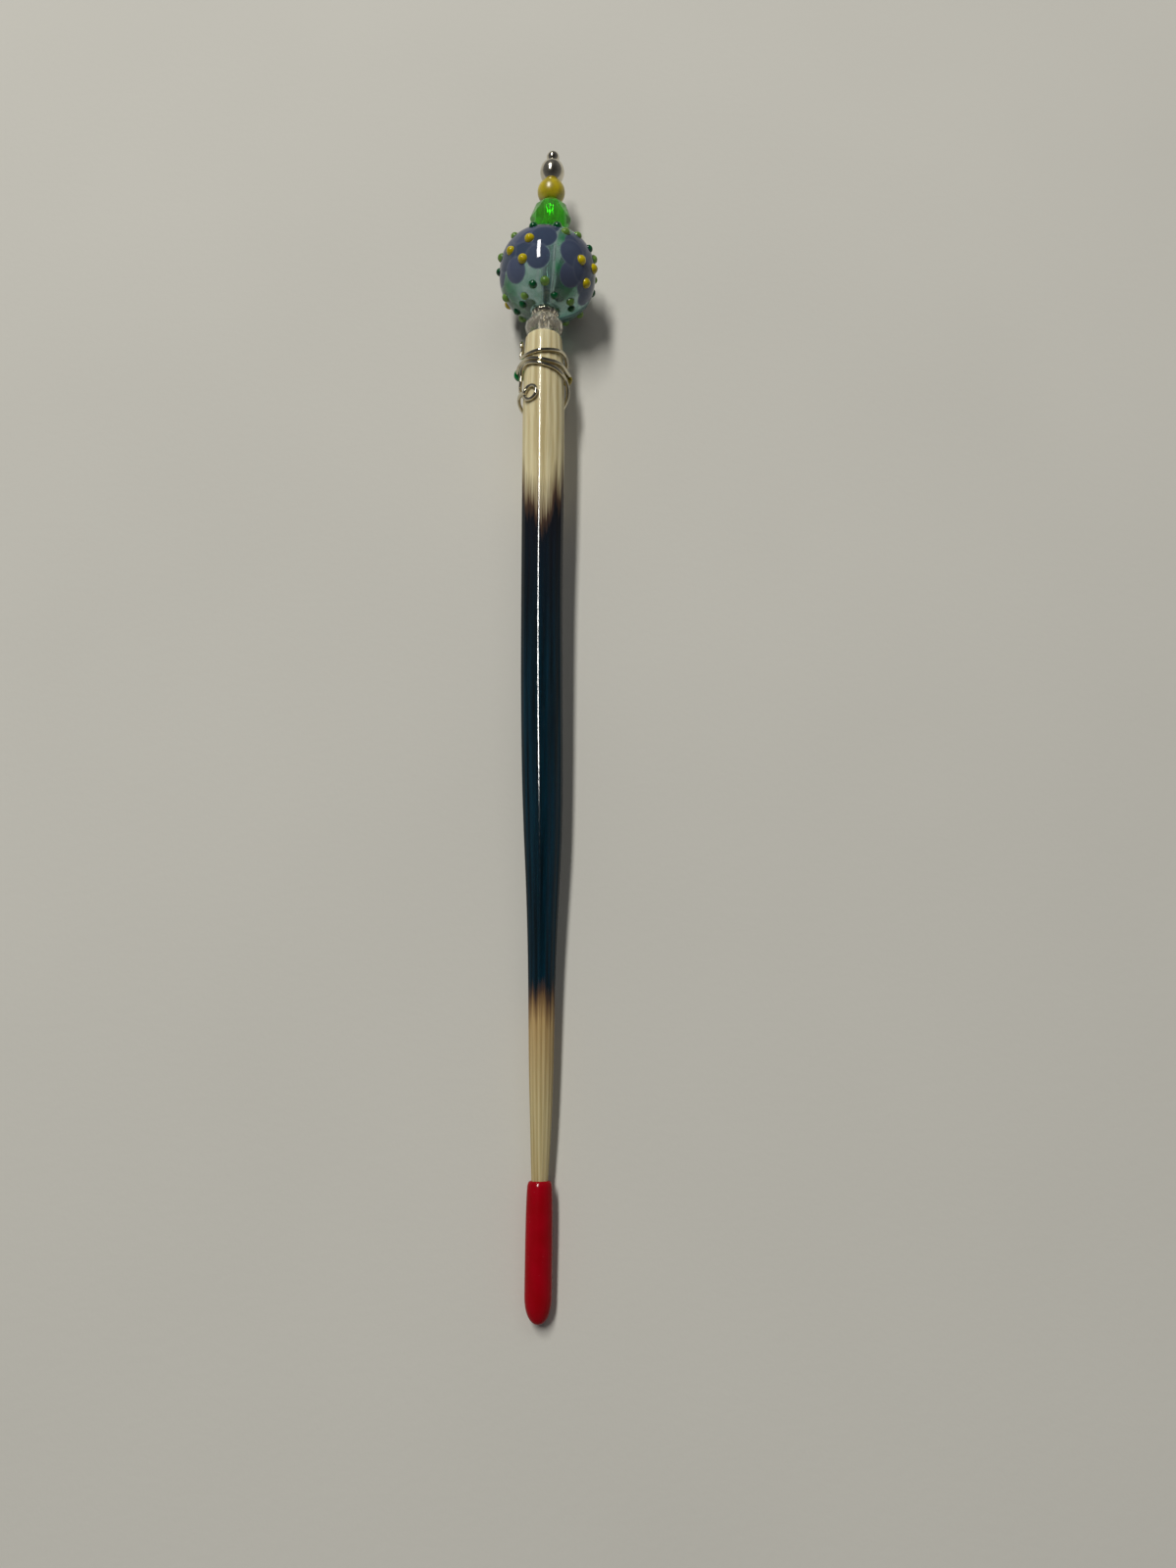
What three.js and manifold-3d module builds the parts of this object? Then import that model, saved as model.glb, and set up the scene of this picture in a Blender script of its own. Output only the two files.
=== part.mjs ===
// A hair stick made from one porcupine quill, lying on a table. Its thin point wears a soft red
// cap. Glass and metal beads stand on a pin that is glued into the sawn end, and a silver wire
// with two seed beads is wound round the quill below them.
// Millimetres, +Z up. The stick lies along Y, with its cap at -Y and its beads at +Y.
// Each piece is made along a local +Y axis. "along" is the distance from the cap's closed end.

import * as THREE from 'three';
import { mergeVertices } from 'three/addons/utils/BufferGeometryUtils.js';
import Module from 'manifold-3d';

// ---- driving dimensions -----------------------------------------------------------------

const GAP = 0.03; // between pieces that touch
const BUTT_GAP = 0.12; // to the first bead, which leans towards the quill's sawn end

// The quill: distance along, diameter and sideways bow at the places where its form changes
const QUILL_FORM = [
  { along: 3, diameter: 0.6, bow: -0.24 },
  { along: 16, diameter: 2.05, bow: -0.1 },
  { along: 22, diameter: 2.6, bow: 0 },
  { along: 28, diameter: 3.0, bow: 0.02 },
  { along: 40, diameter: 3.46, bow: 0.06 },
  { along: 46, diameter: 3.85, bow: 0.1 },
  { along: 52, diameter: 4.4, bow: 0.14 },
  { along: 58, diameter: 4.98, bow: 0.13 },
  { along: 66, diameter: 5.38, bow: 0.03 },
  { along: 78, diameter: 5.58, bow: -0.09 },
  { along: 92, diameter: 5.65, bow: -0.12 },
  { along: 106, diameter: 5.86, bow: -0.03 },
  { along: 119, diameter: 5.88, bow: 0.02 },
  { along: 126, diameter: 5.6, bow: 0.01 },
  { along: 129.75, diameter: 5.18, bow: 0 },
];
const QUILL_TIP = 3;
const QUILL_BUTT = 129.75;
const QUILL_ROWS = 21;
const FLUTE_COUNT = 16;
const FLUTE_DEPTH = 0.06;
const FIRST_RIDGE = -7.5; // its angle round the quill from the top
const BUTT_ROUND = 0.25;
const PIN_HOLE_RADIUS = 0.5;
const PIN_HOLE_DEPTH = 9;

// The vinyl cap
const CAP_LENGTH = 15.8;
const CAP_RADIUS = 1.62;
const CAP_MOUTH_RADIUS = 1.5;
const CAP_END_LENGTH = 3.2; // of the rounded closed end
const CAP_LIP_ROUND = 0.35;
const CAP_BORE_END = 2.4;

// The pin and the beads on it, in their order from the quill's sawn end
const PIN_RADIUS = 0.4;
const PIN_KNOB_RADIUS = 0.95;
const STACK_LEAN_DEG = 2.4; // to the right of the quill
const BEAD_BORE_RADIUS = 0.6;
const BEAD_END_RADIUS = 1.0; // of a round bead's flat end
const CLEAR_BEAD = { radius: 2.76, length: 3.27, faceRadius: 1.85, facets: 10 };
const SPACER = { radius: 2.0, length: 1.2, flutes: 16, fluteDepth: 0.16 };
const LAMPWORK = { radius: 6.95, length: 11.9, endRadius: 2.05, dimple: 0.5, offset: 0.08 };
const LAMPWORK_FULLNESS = 2.4; // the power of its superellipse, where 2 is a plain oval
const SPACER_SEAT = 0.2; // how far the spacer sits into the big bead's dimple
const GREEN_BEAD = { radius: 3.07, length: 6.5, facets: 9, offset: 0.13 };
const YELLOW_BEAD = { radius: 2.03, length: 3.5 };
const SILVER_BEAD = { radius: 1.8, length: 3.4 };

// The raised dots on the big bead. Angles go round from the top towards +X, and heights run
// along the bead from its middle.
const YELLOW_DOT_RADIUS = 0.8;
const GREEN_DOT_RADIUS = 0.7;
const DOT_SINK = 0.15; // of a dot's centre below the glass
const FLOWERS = [
  { angle: -32, height: -0.1 },
  { angle: 61, height: -1.3 },
  { angle: 137, height: -0.4 },
  { angle: 237, height: -0.9 },
];
const FLOWER_DOT_DIRECTIONS = [-76, 38, 168];
const FLOWER_DOT_REACH = 1.85;
const GREEN_DOTS = [
  [-133, -4.8], [-108, -5.1], [-90, -3.9], [-74, -5.6], [-49, -5.4], [-21, -4.9], [0, -4.7],
  [23, -5.6], [66, -5.4], [87, -5.5], [124, -3.9], [147, -4.7], [-84, -0.2], [-76, 1.5],
  [-53, 3.7], [-20, 3.9], [14, 4.0], [24, 2.7], [45, 3.5], [67, 2.8], [79, 2.0], [102, 0.6],
  [111, -0.8],
];
const UNDERSIDE_DOTS = [
  { count: 3, start: 167, step: 20, height: -5.0, stagger: 0.4 },
  { count: 8, start: 100, step: 24, height: 4.1, stagger: 0.4 },
];
const FOOT_ANGLE = 18; // each side of straight down, for the two dots that the bead rests on
const FOOT_HEIGHT = 0.3;

// The wire. Its route is a list of [angle, along, lift]: the angle goes round the quill from the
// top towards +X, and lift is the clearance that the wire has over the quill's surface.
const WIRE_RADIUS = 0.25;
const WIRE_STEPS = 120;
const WIRE_SIDES = 6;
const FRONT_LOOP = { angle: -33, along: 119.5, lift: 0, radius: 1.03, from: -165, to: 165 };
const BACK_LOOP = { angle: -93, along: 128.2, lift: 0.12, radius: 0.8, from: -70, to: -375 };
const LOOP_POINTS = 9;
const WIRE_TO_YELLOW_SEED = [
  [-66, 120.05, 0.12], [-80, 119.95, 0.2], [-90, 119.6, 0.22], [-101, 119.2, 0.12],
  [-115, 118.9, 0.02], [-145, 118.5, 0], [-175, 118.4, 0], [155, 118.7, 0], [132, 119.4, 0.02],
  [116, 120.0, 0.08], [104, 120.5, 0.2], [95, 121.1, 0.25], [87, 121.9, 0.18], [78, 122.45, 0.06],
  [66, 122.75, 0], [52, 122.95, 0], [35, 123.25, 0], [14, 123.5, 0], [-14, 123.95, 0],
  [-36, 124.28, 0], [-56, 124.35, 0.02], [-70, 124.0, 0.08], [-77, 123.2, 0.05],
  [-78, 122.4, 0.05], [-84, 121.75, 0.08], [-98, 121.3, 0.05], [-128, 121.4, 0],
  [-158, 122.0, 0], [172, 122.9, 0.1], [154, 123.7, 0.3], [140, 124.25, 0.6],
];
const YELLOW_SEED_PLACE = [125, 124.6, 0.78];
const WIRE_TO_GREEN_SEED = [
  [111, 124.55, 0.7], [100, 124.3, 0.45], [89, 124.2, 0.18], [74, 124.2, 0.03], [54, 124.3, 0],
  [34, 124.3, 0], [14, 124.3, 0], [-8, 124.55, 0], [-33, 124.9, 0], [-54, 125.1, 0],
  [-70, 125.1, 0.1], [-86, 124.9, 0.4], [-102, 124.85, 0.68],
];
const GREEN_SEED_PLACE = [-118, 125.1, 0.78];
const WIRE_TO_BACK_LOOP = [
  [-133, 125.3, 0.6], [-150, 125.5, 0.2], [-175, 125.7, 0], [155, 125.7, 0], [130, 125.6, 0.05],
  [112, 125.5, 0.15], [98, 125.6, 0.22], [86, 126.1, 0.15], [72, 126.45, 0.03],
  [52, 126.4, 0], [34, 126.2, 0], [14, 126.0, 0], [-10, 125.88, 0], [-38, 125.8, 0],
  [-60, 125.85, 0.02], [-75, 126.1, 0.1], [-88, 126.6, 0.18],
];
const SEED_RADIUS = 0.92;
const SEED_LENGTH = 1.25;
const SEED_BORE_RADIUS = 0.4;

// ---- helpers ----------------------------------------------------------------------------

const radians = THREE.MathUtils.degToRad;
const wasm = await Module();
wasm.setup();

const quillForm = new THREE.CubicInterpolant(
  QUILL_FORM.map((place) => place.along),
  QUILL_FORM.flatMap((place) => [place.diameter / 2, place.bow]),
  2,
);

function quillRadius(along) {
  return quillForm.evaluate(along)[0];
}

function quillBow(along) {
  return quillForm.evaluate(Math.max(along, QUILL_TIP))[1];
}

function material(name, color, roughness, metalness, opacity = 1) {
  return new THREE.MeshStandardMaterial({
    name, color, roughness, metalness, opacity, transparent: opacity < 1,
  });
}

// A point on the surface of revolution round Y: the angle starts at +Z and turns towards +X.
function around(angle, radius, along) {
  return new THREE.Vector3(
    radius * Math.sin(radians(angle)),
    along,
    radius * Math.cos(radians(angle)),
  );
}

// Points of an ellipse's quarter or half, for profiles. Angles are from the +radius direction.
function ellipsePoints(reach, rise, fromDeg, toDeg, count, radiusShift = 0, alongShift = 0) {
  return Array.from({ length: count + 1 }, (_, i) => {
    const angle = radians(fromDeg + ((toDeg - fromDeg) * i) / count);
    return new THREE.Vector2(
      radiusShift + reach * Math.cos(angle),
      alongShift + rise * Math.sin(angle),
    );
  });
}

// A round bead's outer profile, cut off square where its flat ends begin.
function ovalOutline(radius, length, endRadius, rows) {
  const end = Math.acos(endRadius / radius);
  const rise = length / 2 / Math.sin(end);
  const endDeg = THREE.MathUtils.radToDeg(end);
  return ellipsePoints(radius, rise, -endDeg, endDeg, rows);
}

// Moves each vertex of a geometry by a function that changes the Vector3 in place.
function reshape(geometry, change) {
  const position = geometry.getAttribute('position');
  const vertex = new THREE.Vector3();
  for (let i = 0; i < position.count; i++) {
    change(vertex.fromBufferAttribute(position, i), i);
    position.setXYZ(i, vertex.x, vertex.y, vertex.z);
  }
  return geometry;
}

// Every second column of a lathe with two columns for each flute is pressed in.
function flute(vertex, count, depth) {
  const angle = Math.atan2(vertex.x, vertex.z);
  const groove = depth * (0.5 - 0.5 * Math.cos(count * angle));
  const radius = Math.hypot(vertex.x, vertex.z);
  const scale = (radius - groove) / radius;
  vertex.x *= scale;
  vertex.z *= scale;
}

function toSolid(geometry) {
  const bare = geometry.clone();
  bare.deleteAttribute('normal');
  bare.deleteAttribute('uv');
  const merged = mergeVertices(bare, 1e-4);
  return new wasm.Manifold(new wasm.Mesh({
    numProp: 3,
    vertProperties: new Float32Array(merged.getAttribute('position').array),
    triVerts: new Uint32Array(merged.getIndex().array),
  }));
}

function toGeometry(solid) {
  const mesh = solid.getMesh();
  const geometry = new THREE.BufferGeometry();
  geometry.setAttribute('position', new THREE.BufferAttribute(mesh.vertProperties, 3));
  geometry.setIndex(new THREE.BufferAttribute(mesh.triVerts, 1));
  geometry.computeVertexNormals();
  return geometry;
}

// A round section swept along a curve, with closed ends.
function sweep(curve, radius, sides, steps) {
  const section = new THREE.Shape(Array.from({ length: sides }, (_, i) => {
    const angle = (2 * Math.PI * i) / sides;
    return new THREE.Vector2(radius * Math.cos(angle), radius * Math.sin(angle));
  }));
  return new THREE.ExtrudeGeometry(section, { extrudePath: curve, steps, curveSegments: 1 });
}

// A bead with a bore: its outer profile runs from one end of the bore to the other.
function boredLathe(outer, segments) {
  const end = outer[outer.length - 1];
  const profile = [
    new THREE.Vector2(BEAD_BORE_RADIUS, outer[0].y),
    ...outer,
    new THREE.Vector2(BEAD_BORE_RADIUS, end.y),
    new THREE.Vector2(BEAD_BORE_RADIUS, outer[0].y),
  ];
  return new THREE.LatheGeometry(profile, segments);
}

// ---- the quill --------------------------------------------------------------------------

function makeQuill() {
  const profile = [new THREE.Vector2(0, QUILL_TIP)];
  for (let i = 0; i <= QUILL_ROWS; i++) {
    const along = THREE.MathUtils.lerp(QUILL_TIP, QUILL_BUTT - BUTT_ROUND, i / QUILL_ROWS);
    profile.push(new THREE.Vector2(quillRadius(along), along));
  }
  profile.push(new THREE.Vector2(quillRadius(QUILL_BUTT) - BUTT_ROUND, QUILL_BUTT));
  profile.push(new THREE.Vector2(PIN_HOLE_RADIUS, QUILL_BUTT));
  profile.push(new THREE.Vector2(PIN_HOLE_RADIUS, QUILL_BUTT - PIN_HOLE_DEPTH));
  profile.push(new THREE.Vector2(0, QUILL_BUTT - PIN_HOLE_DEPTH));
  const geometry = new THREE.LatheGeometry(profile, 2 * FLUTE_COUNT);
  reshape(geometry, (vertex) => {
    const radius = Math.hypot(vertex.x, vertex.z);
    const onOutside = radius > 0.8 * quillRadius(vertex.y) && radius > PIN_HOLE_RADIUS + 0.1;
    if (onOutside) {
      flute(vertex, FLUTE_COUNT, FLUTE_DEPTH);
    }
  });
  geometry.rotateY(radians(FIRST_RIDGE));
  reshape(geometry, (vertex) => {
    vertex.x += quillBow(vertex.y);
  });
  return new THREE.Mesh(geometry, material('keratin', 0xcfc49a, 0.35, 0));
}

// ---- the cap ----------------------------------------------------------------------------

function makeCap() {
  const lipTop = CAP_LENGTH;
  const boreAtMouth = quillRadius(CAP_LENGTH) + 2 * GAP;
  const profile = [
    ...ellipsePoints(CAP_RADIUS, CAP_END_LENGTH, -90, 0, 7, 0, CAP_END_LENGTH),
    new THREE.Vector2(CAP_RADIUS + 0.02, 0.6 * CAP_LENGTH),
    ...ellipsePoints(
      CAP_LIP_ROUND, CAP_LIP_ROUND, 0, 90, 3, CAP_MOUTH_RADIUS - CAP_LIP_ROUND,
      lipTop - CAP_LIP_ROUND,
    ),
    new THREE.Vector2(boreAtMouth, lipTop),
    new THREE.Vector2(quillRadius(0.5 * CAP_LENGTH) + 3 * GAP, 0.5 * CAP_LENGTH),
    new THREE.Vector2(quillRadius(QUILL_TIP) + 3 * GAP, CAP_BORE_END),
    new THREE.Vector2(0, CAP_BORE_END),
  ];
  const geometry = new THREE.LatheGeometry(profile, 20);
  reshape(geometry, (vertex) => {
    vertex.x += quillBow(vertex.y);
  });
  return new THREE.Mesh(geometry, material('red vinyl', 0xb0101f, 0.35, 0));
}

// ---- the beads on the pin ---------------------------------------------------------------

// A cut glass bead: each row of corners is turned half a facet from the row below.
function facetedBead(rows, facets) {
  const geometry = boredLathe(rows, facets);
  const rowCount = rows.length + 3;
  const lastTurn = rows.length + 1;
  const vertexTurn = new THREE.Vector3(0, 1, 0);
  return reshape(geometry, (vertex, i) => {
    const row = Math.min(i % rowCount, lastTurn);
    vertex.applyAxisAngle(vertexTurn, (row * Math.PI) / facets);
  });
}

function makeClearBead() {
  const { radius, length, faceRadius, facets } = CLEAR_BEAD;
  const rows = [
    new THREE.Vector2(faceRadius, -length / 2),
    new THREE.Vector2(0.94 * radius, -0.18 * length),
    new THREE.Vector2(radius, 0),
    new THREE.Vector2(0.94 * radius, 0.18 * length),
    new THREE.Vector2(faceRadius, length / 2),
  ];
  return new THREE.Mesh(facetedBead(rows, facets), material('clear glass', 0xf2f3ee, 0.03, 0, 0.4));
}

function makeGreenBead() {
  const { radius, length, facets } = GREEN_BEAD;
  const rows = [-1, -0.62, 0, 0.62, 1].map((share) => new THREE.Vector2(
    Math.max(1.3, radius * Math.sqrt(1 - (0.97 * share) ** 2)),
    (share * length) / 2,
  ));
  return new THREE.Mesh(facetedBead(rows, facets), material('green glass', 0x2f9a2c, 0.04, 0, 0.7));
}

function makeSpacer() {
  const { radius, length, flutes, fluteDepth } = SPACER;
  const outer = ellipsePoints(0.5 * length, 0.5 * length, -90, 90, 4, radius - 0.5 * length);
  const geometry = boredLathe(outer, 2 * flutes);
  reshape(geometry, (vertex) => {
    if (Math.hypot(vertex.x, vertex.z) > radius - 0.55 * length) {
      flute(vertex, flutes, fluteDepth);
    }
  });
  return new THREE.Mesh(geometry, material('silver', 0x9c9a94, 0.15, 1));
}

function roundBead({ radius, length }, segments, rows, finish) {
  const outer = ovalOutline(radius, length, BEAD_END_RADIUS, rows);
  return new THREE.Mesh(boredLathe(outer, segments), finish);
}

function makeYellowBead() {
  return roundBead(YELLOW_BEAD, 18, 8, material('yellow glass', 0xc9a400, 0.15, 0));
}

function makeSilverBead() {
  return roundBead(SILVER_BEAD, 18, 8, material('silver', 0x8f8d88, 0.08, 1));
}

// Half the length that the big bead's outline would have if it ran on to its axis.
function lampworkRise() {
  const { radius, length, endRadius } = LAMPWORK;
  const share = 1 - (endRadius / radius) ** LAMPWORK_FULLNESS;
  return length / 2 / share ** (1 / LAMPWORK_FULLNESS);
}

function lampworkRadius(height) {
  const share = 1 - (Math.abs(height) / lampworkRise()) ** LAMPWORK_FULLNESS;
  return LAMPWORK.radius * share ** (1 / LAMPWORK_FULLNESS);
}

// The big bead is fuller than an oval, and draws in to a dimple at each end of its bore.
function lampworkOutline() {
  const { length, dimple } = LAMPWORK;
  const rows = 14;
  const outer = Array.from({ length: rows + 1 }, (_, i) => {
    const height = (length / 2) * Math.sin(Math.PI * (i / rows - 0.5));
    return new THREE.Vector2(lampworkRadius(height), height);
  });
  const mouth = new THREE.Vector2(BEAD_BORE_RADIUS + 0.15, length / 2 - dimple);
  const nearMouth = new THREE.Vector2(mouth.x, -mouth.y);
  return [nearMouth, ...outer, mouth];
}

// A place on the big bead's glass, with the direction straight out of it.
function lampworkSurface(angle, height) {
  const radius = lampworkRadius(height);
  const steepness = LAMPWORK_FULLNESS - 1;
  const sideways = radius ** steepness / LAMPWORK.radius ** LAMPWORK_FULLNESS;
  const upwards = Math.abs(height) ** steepness / lampworkRise() ** LAMPWORK_FULLNESS;
  return {
    place: around(angle, radius, height),
    outward: around(angle, sideways, Math.sign(height) * upwards).normalize(),
  };
}

// A dot is most of a little ball, sunk a little way into the glass.
function placeDot(radius, angle, height) {
  const { place, outward } = lampworkSurface(angle, height);
  const profile = [
    new THREE.Vector2(0, -0.5 * radius),
    ...ellipsePoints(radius, radius, -30, 90, 2),
  ];
  const turn = new THREE.Quaternion().setFromUnitVectors(new THREE.Vector3(0, 1, 0), outward);
  const centre = place.addScaledVector(outward, -DOT_SINK);
  return new THREE.LatheGeometry(profile, 7).applyQuaternion(turn)
    .translate(centre.x, centre.y, centre.z);
}

function flowerDots() {
  return FLOWERS.flatMap(({ angle, height }) => FLOWER_DOT_DIRECTIONS.map((direction) => {
    const sideways = FLOWER_DOT_REACH * Math.cos(radians(direction));
    const upwards = FLOWER_DOT_REACH * Math.sin(radians(direction));
    const turn = THREE.MathUtils.radToDeg(sideways / LAMPWORK.radius);
    return placeDot(YELLOW_DOT_RADIUS, angle + turn, height + upwards);
  }));
}

function greenDots() {
  const underside = UNDERSIDE_DOTS.flatMap(({ count, start, step, height, stagger }) => (
    Array.from({ length: count }, (_, i) => (
      [start + step * i, height + (i % 2 ? stagger : -stagger)]
    ))
  ));
  const feet = [[180 - FOOT_ANGLE, FOOT_HEIGHT], [180 + FOOT_ANGLE, FOOT_HEIGHT]];
  return [...GREEN_DOTS, ...underside, ...feet].map(([angle, height]) => (
    placeDot(GREEN_DOT_RADIUS, angle, height)
  ));
}

function makeLampworkBead() {
  const dots = [...flowerDots(), ...greenDots()];
  const solid = dots.reduce(
    (joined, dot) => joined.add(toSolid(dot)),
    toSolid(boredLathe(lampworkOutline(), 24)),
  );
  return new THREE.Mesh(toGeometry(solid), material('lampwork glass', 0x5f7f86, 0.06, 0));
}

// Threads the beads onto the pin's line, which starts at the quill's sawn end.
function threadBeads(beads) {
  const stack = new THREE.Group();
  let reached = BUTT_GAP;
  for (const { mesh, length, offset = 0, seat = 0 } of beads) {
    mesh.position.set(offset, reached + length / 2 - seat, 0);
    reached += length - seat + GAP;
    stack.add(mesh);
  }
  stack.position.y = QUILL_BUTT;
  stack.rotation.z = -radians(STACK_LEAN_DEG);
  return { stack, reached };
}

// The pin goes straight into the quill, bends at the sawn end and carries the beads to its knob.
function makePin(stackLength) {
  const lean = new THREE.Vector3(
    Math.sin(radians(STACK_LEAN_DEG)),
    Math.cos(radians(STACK_LEAN_DEG)),
    0,
  );
  const butt = new THREE.Vector3(0, QUILL_BUTT, 0);
  const root = new THREE.Vector3(0, QUILL_BUTT - PIN_HOLE_DEPTH + 0.5, 0);
  const bendStart = new THREE.Vector3(0, QUILL_BUTT - 0.4, 0);
  const bendEnd = butt.clone().addScaledVector(lean, 0.4);
  const knob = butt.clone().addScaledVector(lean, stackLength + 0.95 * PIN_KNOB_RADIUS);
  const path = new THREE.CurvePath();
  path.add(new THREE.LineCurve3(root, bendStart));
  path.add(new THREE.QuadraticBezierCurve3(bendStart, butt, bendEnd));
  path.add(new THREE.LineCurve3(bendEnd, knob));
  const wire = toSolid(sweep(path, PIN_RADIUS, 8, 24));
  const ball = new THREE.SphereGeometry(PIN_KNOB_RADIUS, 14, 10)
    .translate(knob.x, knob.y, knob.z);
  const geometry = toGeometry(wire.add(toSolid(ball)));
  return new THREE.Mesh(geometry, material('silver', 0xb4b2ac, 0.12, 1));
}

// ---- the wire and its seed beads --------------------------------------------------------

function wirePoint([angle, along, lift]) {
  return around(angle, quillRadius(along) + WIRE_RADIUS + GAP + lift, along);
}

// A flat open loop that lies against the quill.
function loopPoints({ angle, along, lift, radius, from, to }) {
  const centre = wirePoint([angle, along, lift]);
  const sideways = around(angle + 90, 1, 0);
  return Array.from({ length: LOOP_POINTS }, (_, i) => {
    const turn = radians(THREE.MathUtils.lerp(from, to, i / (LOOP_POINTS - 1)));
    const point = centre.clone().addScaledVector(sideways, radius * Math.cos(turn));
    point.y += radius * Math.sin(turn);
    return point;
  });
}

// The wire's middle line, with the shares of it at which the two seed beads are threaded.
function routeWire() {
  const frontLoop = loopPoints(FRONT_LOOP);
  const route = [
    ...WIRE_TO_YELLOW_SEED, YELLOW_SEED_PLACE,
    ...WIRE_TO_GREEN_SEED, GREEN_SEED_PLACE,
    ...WIRE_TO_BACK_LOOP,
  ];
  const points = [...frontLoop, ...route.map(wirePoint), ...loopPoints(BACK_LOOP)];
  const shareOf = (place) => (frontLoop.length + route.indexOf(place)) / (points.length - 1);
  return {
    curve: new THREE.CatmullRomCurve3(points, false, 'centripetal'),
    yellowShare: shareOf(YELLOW_SEED_PLACE),
    greenShare: shareOf(GREEN_SEED_PLACE),
  };
}

function makeWire(curve) {
  const geometry = sweep(curve, WIRE_RADIUS, WIRE_SIDES, WIRE_STEPS);
  return new THREE.Mesh(geometry, material('silver wire', 0xb9b5aa, 0.2, 1));
}

// A seed bead is centred on the wire, with its bore along it.
function makeSeedBead(curve, share, finish) {
  const round = SEED_LENGTH / 2;
  const reach = SEED_RADIUS - SEED_BORE_RADIUS;
  const outer = ellipsePoints(reach, round, -90, 90, 6, SEED_BORE_RADIUS);
  const profile = [...outer, outer[0].clone()];
  const mesh = new THREE.Mesh(new THREE.LatheGeometry(profile, 14), finish);
  mesh.position.copy(curve.getPoint(share));
  mesh.quaternion.setFromUnitVectors(new THREE.Vector3(0, 1, 0), curve.getTangent(share));
  return mesh;
}

// ---- the stick --------------------------------------------------------------------------

function named(name, mesh) {
  mesh.name = name;
  return mesh;
}

// The slope at which the cap's end and the big bead's two lowest dots stand at one height.
function restingSlope(beadAlong) {
  const { place, outward } = lampworkSurface(180 - FOOT_ANGLE, FOOT_HEIGHT);
  const dot = place.addScaledVector(outward, -DOT_SINK);
  const run = beadAlong + dot.y - CAP_END_LENGTH;
  const drop = GREEN_DOT_RADIUS - CAP_RADIUS;
  return Math.asin(drop / Math.hypot(run, dot.z)) - Math.atan2(dot.z, run);
}

const lampworkBead = named('lampwork_bead', makeLampworkBead());
const { stack, reached } = threadBeads([
  { mesh: named('clear_bead', makeClearBead()), length: CLEAR_BEAD.length },
  { mesh: named('silver_spacer', makeSpacer()), length: SPACER.length },
  {
    mesh: lampworkBead,
    length: LAMPWORK.length,
    offset: LAMPWORK.offset,
    seat: SPACER_SEAT,
  },
  {
    mesh: named('green_bead', makeGreenBead()),
    length: GREEN_BEAD.length,
    offset: GREEN_BEAD.offset,
  },
  { mesh: named('yellow_bead', makeYellowBead()), length: YELLOW_BEAD.length },
  { mesh: named('silver_bead', makeSilverBead()), length: SILVER_BEAD.length },
]);

const { curve, yellowShare, greenShare } = routeWire();
const greenGlass = material('green seed glass', 0x0f7a35, 0.1, 0);
const yellowGlass = material('yellow seed glass', 0x9c8a10, 0.15, 0);

const stick = new THREE.Group();
stick.add(
  named('quill', makeQuill()),
  named('tip_cap', makeCap()),
  named('head_pin', makePin(reached)),
  named('wire_wrap', makeWire(curve)),
  named('green_seed_bead', makeSeedBead(curve, greenShare, greenGlass)),
  named('yellow_seed_bead', makeSeedBead(curve, yellowShare, yellowGlass)),
  stack,
);
stick.rotation.x = restingSlope(QUILL_BUTT + lampworkBead.position.y);

// The stick stands on z = 0, centred over the origin.
const box = new THREE.Box3().setFromObject(stick, true);
const middle = box.getCenter(new THREE.Vector3());
stick.position.set(-middle.x, -middle.y, -box.min.z);

const hairStick = new THREE.Group();
hairStick.add(stick);

export default hairStick;
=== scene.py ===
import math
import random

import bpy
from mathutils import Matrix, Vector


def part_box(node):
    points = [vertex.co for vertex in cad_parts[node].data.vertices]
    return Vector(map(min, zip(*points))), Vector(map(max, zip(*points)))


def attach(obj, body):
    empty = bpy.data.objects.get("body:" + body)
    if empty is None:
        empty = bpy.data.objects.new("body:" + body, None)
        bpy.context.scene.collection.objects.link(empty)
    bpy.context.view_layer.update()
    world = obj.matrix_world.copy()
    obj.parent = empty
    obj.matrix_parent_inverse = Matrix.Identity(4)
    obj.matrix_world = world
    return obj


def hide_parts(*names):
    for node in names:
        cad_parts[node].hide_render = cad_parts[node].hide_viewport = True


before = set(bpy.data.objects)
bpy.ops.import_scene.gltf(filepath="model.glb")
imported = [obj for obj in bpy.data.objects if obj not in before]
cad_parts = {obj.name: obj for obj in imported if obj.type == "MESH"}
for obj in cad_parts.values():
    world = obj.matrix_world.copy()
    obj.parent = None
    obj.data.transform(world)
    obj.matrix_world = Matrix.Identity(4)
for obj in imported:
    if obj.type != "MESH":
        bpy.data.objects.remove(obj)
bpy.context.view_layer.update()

# A hair stick made from one porcupine quill: the fluted quill with its dark band, the red vinyl
# cap on its point, the glass and metal beads on their pin, and the silver wire with two seed
# beads. Each operator makes one piece, or a group of like pieces, at its real size and place.
# Metres. The stick lies along +Y. "along" is the distance from the cap's closed end, and angles
# go round the stick from straight up towards +X.

bl_info = {
    "name": "Beaded Quill Hair Stick",
    "version": (1, 0, 0),
    "blender": (4, 5, 0),
    "location": "3D View > Sidebar > Hair Stick",
    "description": "Makes the pieces and the finishes of a porcupine quill hair stick",
    "category": "Object",
}

MM = 0.001
BODY = "root"
POLE = 1e-6  # radius of a ring that is merged to one point

# ---- sizes ------------------------------------------------------------------------------

GAP = 0.03 * MM  # between pieces that touch
BUTT_GAP = 0.12 * MM  # to the first bead

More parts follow.
